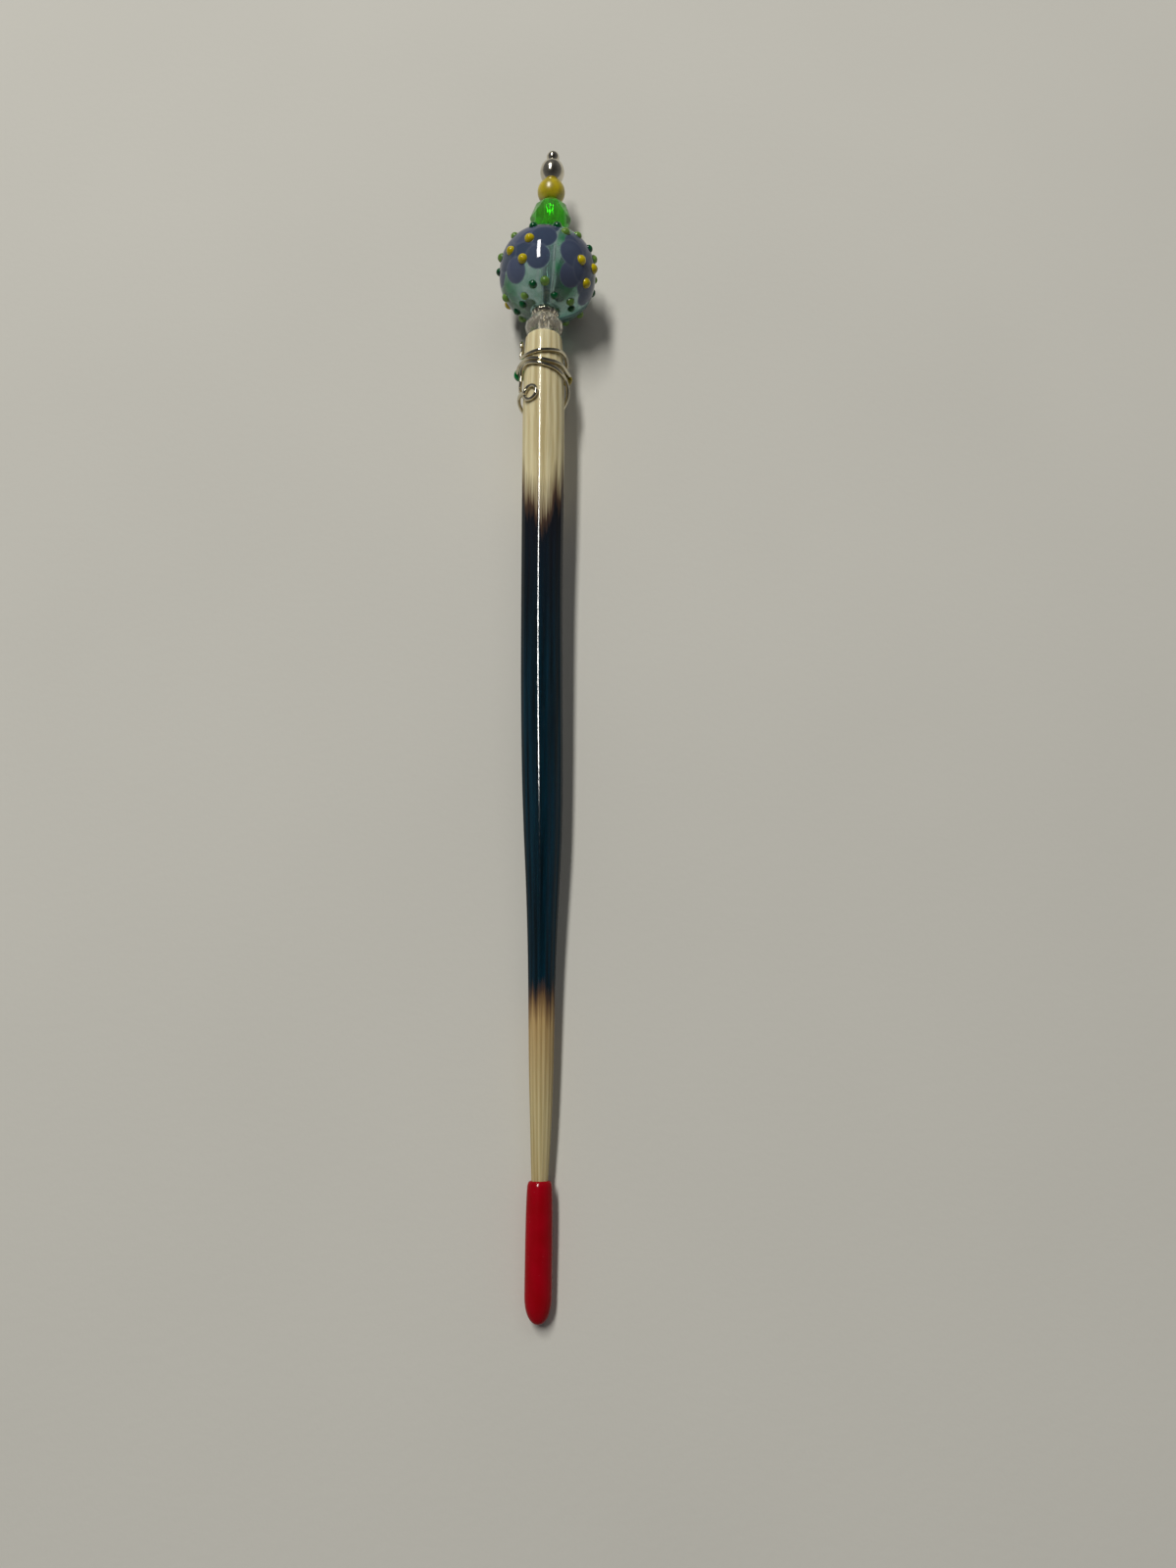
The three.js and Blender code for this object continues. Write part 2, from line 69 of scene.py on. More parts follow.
# The quill: distance along, diameter and sideways bow, in millimetres
QUILL_FORM = [
    (3, 0.6, -0.24), (16, 2.05, -0.1), (22, 2.6, 0), (28, 3.0, 0.02), (40, 3.46, 0.06),
    (46, 3.85, 0.1), (52, 4.4, 0.14), (58, 4.98, 0.13), (66, 5.38, 0.03), (78, 5.58, -0.09),
    (92, 5.65, -0.12), (106, 5.86, -0.03), (119, 5.88, 0.02), (126, 5.6, 0.01), (129.75, 5.18, 0),
]
QUILL_TIP = 3 * MM
QUILL_BUTT = 129.75 * MM
QUILL_ROWS = 70
BUTT_ROUND = 0.25 * MM
PIN_HOLE_RADIUS = 0.5 * MM
PIN_HOLE_DEPTH = 9 * MM
FIRST_RIDGE = -7.5  # degrees round the quill from the top
# Where the quill's colours change, in millimetres along
BAND_FROM = 38.2
BAND_TO = 101.2
BAND_CLIMB = 5.0  # how much higher the dark band ends at the quill's sides than on top
UPPER_FRAY = 16.0  # how far apart the longest and the shortest streak of an edge end
LOWER_FRAY = 8.0
STAIN_FROM, STAIN_TO = 24.0, 37.0  # the brown stain below the band sets in
AMBER_FROM, AMBER_TO = 60.0, 40.0  # the amber tint sets in, towards the point
RUST_FROM, RUST_TO = 80.0, 100.0  # the band turns from blue black to brown black
RUST = 0.8  # how far it turns
STREAK_DRIFT = 0.012  # how little the streaks change along, against the way round

CAP_LENGTH = 15.8 * MM
CAP_RADIUS = 1.62 * MM
CAP_MOUTH_RADIUS = 1.5 * MM
CAP_END_LENGTH = 3.2 * MM
CAP_LIP_ROUND = 0.35 * MM
CAP_LIP_RISE = 0.8 * MM
CAP_BORE_END = 2.4 * MM
CAP_BLUNTNESS = 0.92  # the power of its round end's outline, where 1 is an ellipse

PIN_RADIUS = 0.4 * MM
PIN_KNOB_RADIUS = 0.95 * MM
BORE_RADIUS = 0.6 * MM
BORE_ROWS = (0, 0.03, 0.5, 0.97, 1)  # places down the bore, as shares of its length
BEAD_END_RADIUS = 1.0 * MM

CLEAR_BEAD = {"radius": 2.76 * MM, "length": 3.27 * MM, "face": 1.85 * MM, "facets": 10}
SPACER = {"radius": 2.0 * MM, "length": 1.2 * MM, "flutes": 16, "depth": 0.16 * MM}
SPACER_SEAT = 0.2 * MM  # how far the spacer sits into the big bead's dimple
LAMPWORK = {"radius": 6.95 * MM, "length": 11.9 * MM, "end": 2.05 * MM, "dimple": 0.5 * MM}
LAMPWORK_FULLNESS = 2.4  # the power of its superellipse
LAMPWORK_OFFSET = 0.08 * MM  # to the side of the pin
GREEN_BEAD = {"radius": 3.07 * MM, "length": 6.5 * MM, "facets": 9}
GREEN_OFFSET = 0.13 * MM  # to the side of the pin
YELLOW_BEAD = {"radius": 2.03 * MM, "length": 3.5 * MM}
SILVER_BEAD = {"radius": 1.8 * MM, "length": 3.4 * MM}

# The big bead's flowers: angle, and height from the bead's middle in mm
FLOWERS = [(-32, -0.1), (61, -1.3), (137, -0.4), (237, -0.9)]
FLOWER_DOT_DIRECTIONS = (-76, 38, 168)
FLOWER_DOT_REACH = 1.85  # mm
# Petals by angle, height and radius in mm. Later petals lie over earlier ones.
UPPER_PETALS = [
    (-28, 0.8, 2.5), (56, -0.3, 2.7), (-72, 1.4, 2.3), (-74, -1.0, 2.2), (-46, 2.2, 2.0),
    (-14, 1.8, 1.8), (-2, 3.4, 2.1), (-30, 2.6, 2.0), (-3, 1.3, 1.95), (-54, -0.4, 2.0),
    (50, 2.2, 2.1), (38, 0.9, 2.0), (-42, -2.9, 1.82), (-9, -1.9, 1.8), (66, -3.0, 2.0),
    (86, -2.2, 2.0), (76, 1.2, 2.2), (37, -3.4, 1.85), (33, -0.6, 2.0), (80, -3.9, 1.6),
    (52, -1.9, 1.9),
]
PETALS = 5  # on each of the two flowers underneath
PETAL_RADIUS = 1.85  # mm
PETAL_REACH = 2.6  # mm from the flower's middle to a petal's
PETAL_SOFT = 0.25  # mm over which one petal's tone runs into the next
# What each point of the big bead stores for its finish
PAINTED = ("petal", "petal_edge", "petal_tone", "pale_line", "green")
# The pale seam between the two upper flowers, and the clearer green patches
SEAM = [(16, 3.0), (13, 2.0), (11, 0.6), (10, -1.3), (11, -3.1), (12, -4.4), (17, -5.4)]
STREAK = [(-8, -2.3), (-9, -3.6), (-11, -4.4), (-14, -5.4)]
GREEN_PATCHES = [
    (17, -3.2, 1.3), (20, 1.2, 1.8), (24, 3.9, 1.8), (42, -5.0, 1.9), (-66, -3.9, 1.9),
    (165, -3.5, 2.4),
]
# Green dots by angle and height in mm
DARK_DOTS = [
    (-108, -5.1), (-74, -5.6), (-21, -4.9), (23, -5.6), (87, -5.5), (-84, -0.2), (-20, 3.9),
    (14, 4.0), (67, 2.8), (111, -0.8), (187, -4.6), (124, 4.5), (172, 4.5), (220, 4.5),
    (268, 4.5), (198, 0.3),
]
LIGHT_DOTS = [
    (-133, -4.8), (-90, -3.9), (-49, -5.4), (0, -4.7), (66, -5.4), (124, -3.9), (147, -4.7),
    (-76, 1.5), (-53, 3.7), (24, 2.7), (45, 3.5), (79, 2.0), (102, 0.6), (167, -5.4),
    (207, -5.4), (100, 3.7), (148, 3.7), (196, 3.7), (244, 3.7), (162, 0.3),
]
DOT_SINK = 0.15 * MM

WIRE_RADIUS = 0.25 * MM
# The wire's route: angle, mm along, and mm of clearance over the quill. A loop also has its
# radius in mm, and the degrees that it starts and ends at.
FRONT_LOOP = {"angle": -33, "along": 119.5, "lift": 0, "radius": 1.03, "turns": (-165, 165)}
BACK_LOOP = {"angle": -93, "along": 128.2, "lift": 0.12, "radius": 0.8, "turns": (-70, -375)}
LOOP_POINTS = 9
WIRE_TO_YELLOW_SEED = [
    (-66, 120.05, 0.12), (-80, 119.95, 0.2), (-90, 119.6, 0.22), (-101, 119.2, 0.12),
    (-115, 118.9, 0.02), (-145, 118.5, 0), (-175, 118.4, 0), (155, 118.7, 0),
    (132, 119.4, 0.02), (116, 120.0, 0.08), (104, 120.5, 0.2), (95, 121.1, 0.25),
    (87, 121.9, 0.18), (78, 122.45, 0.06), (66, 122.75, 0), (52, 122.95, 0), (35, 123.25, 0),
    (14, 123.5, 0), (-14, 123.95, 0), (-36, 124.28, 0), (-56, 124.35, 0.02),
    (-70, 124.0, 0.08), (-77, 123.2, 0.05), (-78, 122.4, 0.05), (-84, 121.75, 0.08),
    (-98, 121.3, 0.05), (-128, 121.4, 0), (-158, 122.0, 0), (172, 122.9, 0.1),
    (154, 123.7, 0.3), (140, 124.25, 0.6),
]
YELLOW_SEED_PLACE = (125, 124.6, 0.78)
WIRE_TO_GREEN_SEED = [
    (111, 124.55, 0.7), (100, 124.3, 0.45), (89, 124.2, 0.18), (74, 124.2, 0.03),
    (54, 124.3, 0), (34, 124.3, 0), (14, 124.3, 0), (-8, 124.55, 0), (-33, 124.9, 0),
    (-54, 125.1, 0), (-70, 125.1, 0.1), (-86, 124.9, 0.4), (-102, 124.85, 0.68),
]
GREEN_SEED_PLACE = (-118, 125.1, 0.78)
WIRE_TO_BACK_LOOP = [
    (-133, 125.3, 0.6), (-150, 125.5, 0.2), (-175, 125.7, 0), (155, 125.7, 0),
    (130, 125.6, 0.05), (112, 125.5, 0.15), (98, 125.6, 0.22), (86, 126.1, 0.15),
    (72, 126.45, 0.03), (52, 126.4, 0), (34, 126.2, 0), (14, 126.0, 0), (-10, 125.88, 0),
    (-38, 125.8, 0), (-60, 125.85, 0.02), (-75, 126.1, 0.1), (-88, 126.6, 0.18),
]
WIRE_SAMPLES = 7  # between two points of the route
SEED_RADIUS = 0.92 * MM
SEED_LENGTH = 1.25 * MM
SEED_BORE_RADIUS = 0.4 * MM

# ---- colours of details, beside those that a user can change ----------------------------

BAND_STAIN = "#e3c9ae"  # multiplies the pale keratin below the dark band
BAND_RUST = "#14131b"
DEEP_VINYL = "#98000c"
VINYL_SPECK = "#e88a90"
AQUA_SHADE = "#68a898"
AQUA_BODY = "#93bcb6"
AQUA_PALE = "#c3d3da"
SEAM_GLASS = "#c3d6d8"
PETAL_RIM = "#7b8291"
CLEAR_GLASS = "#fffaec"
LIT_GREEN_GLASS = "#7af04c"
DEEP_YELLOW_GLASS = "#a89600"
DEEP_YELLOW_DOT = "#a39400"
DEEP_DARK_GREEN_DOT = "#00401f"
DEEP_LIGHT_GREEN_DOT = "#6a9440"
GREEN_SEED, DEEP_GREEN_SEED = "#00a04a", "#006a33"
YELLOW_SEED, DEEP_YELLOW_SEED = "#a89414", "#75660c"


def linear(hex_colour):
    """An sRGB colour such as #c8bd94 as linear red, green, blue and full alpha."""
    parts = [int(hex_colour[i:i + 2], 16) / 255 for i in (1, 3, 5)]
    tones = [p / 12.92 if p <= 0.04045 else ((p + 0.055) / 1.055) ** 2.4 for p in parts]
    return (*tones, 1.0)


# ---- what a user can change -------------------------------------------------------------


def size_property(name, description, default):
    return bpy.props.FloatProperty(
        name=name, description=description, default=default, min=0, precision=5, unit="LENGTH",
    )


def colour_property(name, description, default):
    return bpy.props.FloatVectorProperty(
        name=name, description=description, default=linear(default), size=4, min=0, max=1,
        subtype="COLOR",
    )


class QuillSettings(bpy.types.PropertyGroup):
    """The quill's ridges and colours."""

    ridges: bpy.props.IntProperty(
        name="Ridges", description="Lengthwise ridges round the quill", default=16, min=8,
    )
    ridge_depth: size_property("Ridge depth", "Depth of a groove between two ridges", 0.08 * MM)
    cream: colour_property("Cream", "The quill's pale ridges", "#ece2ba")
    # The tan of the real streaks, which is also painted into the grooves as shade
    groove: colour_property("Groove", "The tan between pale ridges", "#c2b183")
    amber: colour_property("Amber", "Tints the pale part next to the point", "#e3ddcf")
    band: colour_property("Band", "The dark band", "#001017")
    # The teal of the band's real streaks, and the lighter side of the band's painted groove shade
    band_ridge: colour_property("Band ridge", "The dark band's ridges", "#002a3a")
    fringe: colour_property("Fringe", "The brown at the dark band's edges", "#5a4333")


class CapSettings(bpy.types.PropertyGroup):
    """The cap's vinyl."""

    vinyl: colour_property("Vinyl", "The cap's red", "#a40014")


class BeadSettings(bpy.types.PropertyGroup):
    """The beads' details and colours."""

    yellow_dot: size_property("Yellow dot radius", "Radius of a flower's dots", 0.77 * MM)
    green_dot: size_property("Green dot radius", "Radius of the green dots", 0.69 * MM)
    petal_glass: colour_property("Petal", "The flowers' slate purple", "#36445a")
    pale_petal: colour_property("Pale petal", "The flowers' paler petals", "#555d78")
    aqua_glass: colour_property("Aqua", "The big bead's glass", "#aed2cc")
    green_patch: colour_property("Green patch", "The green parts of the aqua", "#2f9d60")
    yellow_glass: colour_property("Yellow", "The yellow dots and bead", "#cdb800")
    dark_green_glass: colour_property("Dark green", "The dark green dots", "#006a35")
    light_green_glass: colour_property("Light green", "The light green dots", "#86b04a")
    green_glass: colour_property("Green", "The faceted bead's absorbed light", "#2fd834")


class MetalSettings(bpy.types.PropertyGroup):
    """The metal pieces."""

    silver: colour_property("Silver", "The pin, the spacer and the top bead", "#e2dbc8")
    wire: colour_property("Wire", "The wound wire", "#dad2ba")


class StageSettings(bpy.types.PropertyGroup):
    """The surface that the stick lies on, and the light on it."""

    paper: colour_property("Paper", "The pale surface", "#d5d3cb")
    lamp_power: bpy.props.FloatProperty(
        name="Long lamp", description="Power of the long lamp", default=19.0, min=0, unit="POWER",
    )
    broad_power: bpy.props.FloatProperty(
        name="Broad lamp", description="Power of the broad lamp", default=1.1, min=0, unit="POWER",
    )


def settings(group):
    """What a user has set in one of the GROUPS."""
    return getattr(bpy.context.scene, "hair_stick_" + group)


# ---- places -----------------------------------------------------------------------------


def middle(node):
    """The middle of a solid's box."""
    low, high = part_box(node)
    return (Vector(low) + Vector(high)) / 2


def stick_frame():
    """The stick's own axes and its pin's lean, from two beads on the pin. The stick slopes up
    from the cap to the beads."""
    lower = middle("silver_spacer")
    pin = middle("silver_bead") - lower
    slope = math.atan2(pin.z, pin.y)
    lean = math.asin(pin.x / pin.length)
    reach = BUTT_GAP + CLEAR_BEAD["length"] + GAP + SPACER["length"] / 2
    turn = Matrix.Rotation(slope, 4, "X")
    on_pin = Vector((reach * math.sin(lean), QUILL_BUTT + reach * math.cos(lean), 0))
    return Matrix.Translation(lower - turn @ on_pin) @ turn, lean


STICK, LEAN = stick_frame()
PIN = STICK @ Matrix.Translation((0, QUILL_BUTT, 0)) @ Matrix.Rotation(-LEAN, 4, "Z")
UPRIGHT = Matrix.Rotation(math.radians(-90), 4, "X")  # lays a piece modelled along +Z along +Y


def bead_places():
    """Where each bead's middle is up the pin."""
    places = {}
    reached = BUTT_GAP
    for name, bead, seat in (
        ("clear", CLEAR_BEAD, 0), ("spacer", SPACER, 0), ("lampwork", LAMPWORK, SPACER_SEAT),
        ("green", GREEN_BEAD, 0), ("yellow", YELLOW_BEAD, 0), ("silver", SILVER_BEAD, 0),
    ):
        places[name] = reached + bead["length"] / 2 - seat
        reached += bead["length"] - seat + GAP
    places["top"] = reached
    return places


BEAD_AT = bead_places()


def on_pin(name, offset=0.0):
    """A bead's own axes."""
    return PIN @ Matrix.Translation((offset, BEAD_AT[name], 0))


def curve_at(t, start, leave, end, arrive):
    """A place on the smooth curve from start to end with the given slopes, for t from 0 to 1."""
    return (
        (2 * t ** 3 - 3 * t ** 2 + 1) * start + (t ** 3 - 2 * t ** 2 + t) * leave
        + (3 * t ** 2 - 2 * t ** 3) * end + (t ** 3 - t ** 2) * arrive
    )


def quill_form(along):
    """The quill's radius and bow at a place, by a smooth curve through QUILL_FORM."""
    mm = min(max(along / MM, QUILL_FORM[0][0]), QUILL_FORM[-1][0])
    i = max(k for k in range(len(QUILL_FORM) - 1) if QUILL_FORM[k][0] <= mm)
    before, here, there, after = (
        QUILL_FORM[max(i - 1, 0)], QUILL_FORM[i], QUILL_FORM[i + 1],
        QUILL_FORM[min(i + 2, len(QUILL_FORM) - 1)],
    )
    span = there[0] - here[0]
    values = []
    for column in (1, 2):
        leave = span * (there[column] - before[column]) / (there[0] - before[0])
        arrive = span * (after[column] - here[column]) / (after[0] - here[0])
        values.append(
            curve_at((mm - here[0]) / span, here[column], leave, there[column], arrive)
        )
    diameter, bow = values
    return diameter / 2 * MM, bow * MM


def around(angle, radius, along):
    """A place by its angle round the stick."""
    turn = math.radians(angle)
    return Vector((radius * math.sin(turn), along, radius * math.cos(turn)))


# ---- modelling --------------------------------------------------------------------------


def ring(name, sides, radius, height, shift=0.0):
    """Starts a piece as one ring of edges round +Z and leaves it selected in edit mode."""
    bpy.ops.object.select_all(action="DESELECT")
    bpy.ops.mesh.primitive_circle_add(
        vertices=sides, radius=max(radius, POLE), location=(shift, 0, height),
    )
    piece = bpy.context.object
    piece.name = name
    piece.data.name = name
    bpy.ops.object.transform_apply(location=True)
    bpy.ops.object.mode_set(mode="EDIT")
    bpy.ops.mesh.select_all(action="SELECT")
    return piece


def draw_up(places, turn=0.0):
    """Extrudes the selected ring through (radius, height, shift) places."""
    radius, height, shift = places[0]
    for next_radius, next_height, next_shift in places[1:]:
        bpy.ops.mesh.extrude_region_move(TRANSFORM_OT_translate={
            "value": (next_shift - shift, 0, next_height - height),
        })
        scale = max(next_radius, POLE) / max(radius, POLE)
        centre = (next_shift, 0, next_height)
        bpy.ops.transform.resize(value=(scale, scale, 1), center_override=centre)
        if turn:
            bpy.ops.transform.rotate(value=turn, orient_axis="Z", center_override=centre)
        radius, height, shift = next_radius, next_height, next_shift


def pick(piece, wanted):
    """Selects the vertices for whose place wanted() holds, in edit mode."""
    bpy.ops.object.mode_set(mode="OBJECT")
    for part in (piece.data.edges, piece.data.polygons):
        part.foreach_set("select", [False] * len(part))
    for vertex in piece.data.vertices:
        vertex.select = bool(wanted(vertex.co))
    bpy.ops.object.mode_set(mode="EDIT")


def close_up(piece, where):
    """Merges poles and seams, turns the faces outwards and lays the piece in its place."""
    bpy.ops.mesh.select_all(action="SELECT")
    bpy.ops.mesh.remove_doubles(threshold=3 * POLE)
    bpy.ops.mesh.normals_make_consistent(inside=False)
    bpy.ops.object.mode_set(mode="OBJECT")
    piece.matrix_world = where @ UPRIGHT
    bpy.ops.object.transform_apply()
    return piece


def lathe(name, places, sides, where, turn=0.0):
    """A turned piece from (radius, height) or (radius, height, shift) places, which run from pole
    to pole or round to the first."""
    rows = [(*place, 0.0)[:3] for place in places]
    piece = ring(name, sides, *rows[0])
    draw_up(rows, turn)
    return close_up(piece, where)


def take_up(*pieces):
    """Selects these pieces alone and makes the first one active."""
    bpy.ops.object.select_all(action="DESELECT")
    for piece in pieces:
        piece.select_set(True)
    bpy.context.view_layer.objects.active = pieces[0]


def finish_with(piece, kind, **values):
    """Adds a modifier and applies it."""
    take_up(piece)
    modifier = piece.modifiers.new(kind.title(), kind)
    for name, value in values.items():
        setattr(modifier, name, value)
    bpy.ops.object.modifier_apply(modifier=modifier.name)


def smoothed(piece, levels, angle=None):
    """Subdivides a piece and shades it smooth, but for edges sharper than the angle."""
    finish_with(piece, "SUBSURF", levels=levels, render_levels=levels)
    take_up(piece)
    if angle is None:
        bpy.ops.object.shade_smooth()
    else:
        bpy.ops.object.shade_smooth_by_angle(angle=math.radians(angle))


def arc(reach, rise, start, end, count, radius=0.0, height=0.0):
    """Places on an ellipse about (radius, height), by angle from the outward direction."""
    places = []
    for i in range(count + 1):
        angle = math.radians(start + (end - start) * i / count)
        places.append((radius + reach * math.cos(angle), height + rise * math.sin(angle)))
    return places


def superellipse(share):
    """How far out a superellipse still is, as a share of its reach, at a share of its rise."""
    return (1 - share ** LAMPWORK_FULLNESS) ** (1 / LAMPWORK_FULLNESS)


LAMPWORK_RISE = LAMPWORK["length"] / 2 / superellipse(LAMPWORK["end"] / LAMPWORK["radius"])


def full_oval(rows):
    """The big bead's outline, a superellipse, between its flat ends."""
    places = []
    for i in range(rows + 1):
        height = LAMPWORK["length"] / 2 * math.sin(math.pi * (i / rows - 0.5))
        places.append((LAMPWORK["radius"] * superellipse(abs(height) / LAMPWORK_RISE), height))
    return places


def oval(radius, length, end_radius, rows):
    """A round bead's outline between its flat ends."""
    end = math.acos(end_radius / radius)
    rise = length / 2 / math.sin(end)
    return arc(radius, rise, -math.degrees(end), math.degrees(end), rows)


def bored(outer):
    """An outline that runs on through the bead's bore, back to its start."""
    low, high = outer[0][1], outer[-1][1]
    wall = [(BORE_RADIUS, high + (low - high) * share) for share in BORE_ROWS]
    return [(BORE_RADIUS, low), *outer, *wall]


def dress(piece, material, slot, *nodes):
    """Gives a finished piece its finish, hangs it on the body and hides the solids of the frame
    that it stands for.
    """
    piece.data.materials.clear()
    piece.data.materials.append(material)
    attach(piece, BODY)
    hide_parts(*nodes)


# ---- finishes ---------------------------------------------------------------------------


def feed(tree, node, inputs):
    """Sets a node's inputs. Each is a value, a node, or a pair of a node and its output's name."""
    for key, value in inputs.items():
        if isinstance(value, bpy.types.Node):
            tree.links.new(value.outputs[0], node.inputs[key])
        elif isinstance(value, tuple) and isinstance(value[0], bpy.types.Node):
            tree.links.new(value[0].outputs[value[1]], node.inputs[key])
        else:
            node.inputs[key].default_value = value


def add(tree, kind, inputs=None, stops=None, **values):
    """Adds a node with its settings, its inputs and, on a ramp, its stops."""
    node = tree.nodes.new("ShaderNode" + kind)
    for name, value in values.items():
        setattr(node, name, value)
    feed(tree, node, inputs or {})
    if stops:
        ramp = node.color_ramp
        while len(ramp.elements) < len(stops):
            ramp.elements.new(1.0)
        for element, (position, colour) in zip(ramp.elements, stops):
            element.position = position
            element.color = colour
    return node


def new_finish(name, **surface):
    """A material with its Principled shader, and the plain values on that shader's sockets."""
    material = bpy.data.materials.new(name)
    material.use_nodes = True
    tree = material.node_tree
    shader = tree.nodes["Principled BSDF"]
    for socket, value in surface.items():
        shader.inputs[socket.replace("_", " ")].default_value = value
    return material, tree, shader


def shaded(colour, share):
    """A darker tone of a colour."""
    return (*(share * part for part in colour[:3]), 1.0)


def fade_gloss(tree, shader, straight, glancing):
    """A gloss that fades to the sides, as on a surface that is finely uneven. The socket's own
    value is the straight one, for an export that drops the link."""
    shader.inputs["Specular IOR Level"].default_value = straight
    weight = add(tree, "LayerWeight", {"Blend": 0.5})
    level = add(tree, "MapRange", {
        "Value": (weight, "Facing"), "From Min": 0.05, "From Max": 0.4,
        "To Min": straight, "To Max": glancing,
    })
    feed(tree, shader, {"Specular IOR Level": level})


def local_mm(tree, where=STICK):
    """Object coordinates in millimetres in the axes of a piece: y runs along the stick."""
    coordinates = add(tree, "TexCoord")
    return add(tree, "Mapping", {
        "Vector": (coordinates, "Object"),
        "Location": where.translation,
        "Rotation": where.to_euler(),
        "Scale": (MM, MM, MM),
    }, vector_type="TEXTURE")


def keratin():
    """Keratin, as grown: pale and tan streaks that run lengthwise, and a near-black band whose
    ends fray along the grooves. Painted shade makes the grooves a little darker than the ridges.
    The eye sees a waxy gloss, finely broken by the grain."""
    colours = settings("quill")
    material, tree, shader = new_finish(
        "quill keratin grown", IOR=1.55, Subsurface_Weight=0.12,
        Subsurface_Radius=(1.2 * MM, 0.8 * MM, 0.4 * MM), Subsurface_Scale=1.0,
    )
    place = local_mm(tree)
    axes = add(tree, "SeparateXYZ", {0: place})
    # A direction round the quill, so that patterns run on without a seam
    flat = add(tree, "CombineXYZ", {0: (axes, "X"), 2: (axes, "Z")})
    direction = add(tree, "VectorMath", {0: flat}, operation="NORMALIZE")
    drawn = add(tree, "CombineXYZ", {1: (axes, "Y")})
    drawn_slow = add(tree, "VectorMath", {
        0: drawn, 1: (0, STREAK_DRIFT, 0),
    }, operation="MULTIPLY")
    streak_at = add(tree, "VectorMath", {0: direction, 1: drawn_slow}, operation="ADD")
    # Broad streaks and fine ones, about 0.7 and 0.2 mm wide on the quill's 2.8 mm radius
    broad = add(tree, "TexNoise", {"Vector": streak_at, "Scale": 4.0, "Detail": 2.0})
    fine = add(tree, "TexNoise", {"Vector": streak_at, "Scale": 17.0, "Detail": 2.0})
    broad_part = add(tree, "Math", {0: broad, 1: 0.7}, operation="MULTIPLY")
    streaks = add(tree, "Math", {0: fine, 1: 0.3, 2: broad_part}, operation="MULTIPLY_ADD")
    # 1 on a ridge and -1 in a groove. A little of this goes into the colour as painted shade:
    # grooves darker, ridges lighter
    angle = add(tree, "Math", {0: (axes, "X"), 1: (axes, "Z")}, operation="ARCTAN2")
    ridges = float(colours.ridges)
    turned = add(tree, "Math", {
        0: angle, 1: ridges, 2: -ridges * math.radians(FIRST_RIDGE),
    }, operation="MULTIPLY_ADD")
    ridge = add(tree, "Math", {0: turned}, operation="COSINE")
    streaks_and_groove_shade = add(tree, "Math", {0: ridge, 1: 0.06, 2: streaks}, operation="MULTIPLY_ADD")
    # Real pale and tan streaks, with the grooves painted a little darker as shade
    stripe_and_groove_shade = add(tree, "MapRange", {"Value": streaks_and_groove_shade, "From Min": 0.34, "From Max": 0.66})
    cream = add(tree, "Mix", {0: stripe_and_groove_shade, 6: colours.groove, 7: colours.cream}, data_type="RGBA")
    low = add(tree, "MapRange", {
        "Value": (axes, "Y"), "From Min": AMBER_FROM, "From Max": AMBER_TO,
    })
    tinted = add(tree, "Mix", {
        0: low, 6: (cream, "Result"), 7: colours.amber,
    }, data_type="RGBA", blend_type="MULTIPLY")
    # The point's end of the band stains the keratin brown for about 10 mm, and its other end
    # doesn't
    near_band = add(tree, "MapRange", {
        "Value": (axes, "Y"), "From Min": STAIN_FROM, "From Max": STAIN_TO,
    })
    lower_half = add(tree, "MapRange", {
        "Value": (axes, "Y"), "From Min": AMBER_FROM, "From Max": AMBER_FROM - 1.0,
    })
    stain = add(tree, "Math", {0: near_band, 1: lower_half}, operation="MULTIPLY")
    pale_part = add(tree, "Mix", {
        0: stain, 6: (tinted, "Result"), 7: linear(BAND_STAIN),
    }, data_type="RGBA", blend_type="MULTIPLY")
    # The band's edges: both fray by the streaks, and the upper one climbs the quill's sides
    side = add(tree, "SeparateXYZ", {0: direction})
    climb = add(tree, "Math", {0: (side, "X"), 1: (side, "X")}, operation="MULTIPLY")
    upper_edge = add(tree, "Math", {
        0: climb, 1: BAND_CLIMB, 2: BAND_TO,
    }, operation="MULTIPLY_ADD")
    upper_fray = add(tree, "Math", {
        0: streaks, 1: -UPPER_FRAY, 2: UPPER_FRAY / 2,
    }, operation="MULTIPLY_ADD")
    upper_frayed = add(tree, "Math", {0: upper_edge, 1: upper_fray}, operation="ADD")
    above = add(tree, "Math", {0: (axes, "Y"), 1: upper_frayed}, operation="SUBTRACT")
    lower_frayed = add(tree, "Math", {
        0: streaks, 1: LOWER_FRAY, 2: BAND_FROM - LOWER_FRAY / 2,
    }, operation="MULTIPLY_ADD")
    below = add(tree, "Math", {0: lower_frayed, 1: (axes, "Y")}, operation="SUBTRACT")
    # Each edge fades over 5 to 8 mm, through the fringe's brown
    above_share = add(tree, "MapRange", {"Value": above, "From Min": -3.0, "From Max": 5.0})
    below_share = add(tree, "MapRange", {"Value": below, "From Min": -1.0, "From Max": 4.5})
    pale = add(tree, "Math", {0: above_share, 1: below_share}, operation="MAXIMUM")
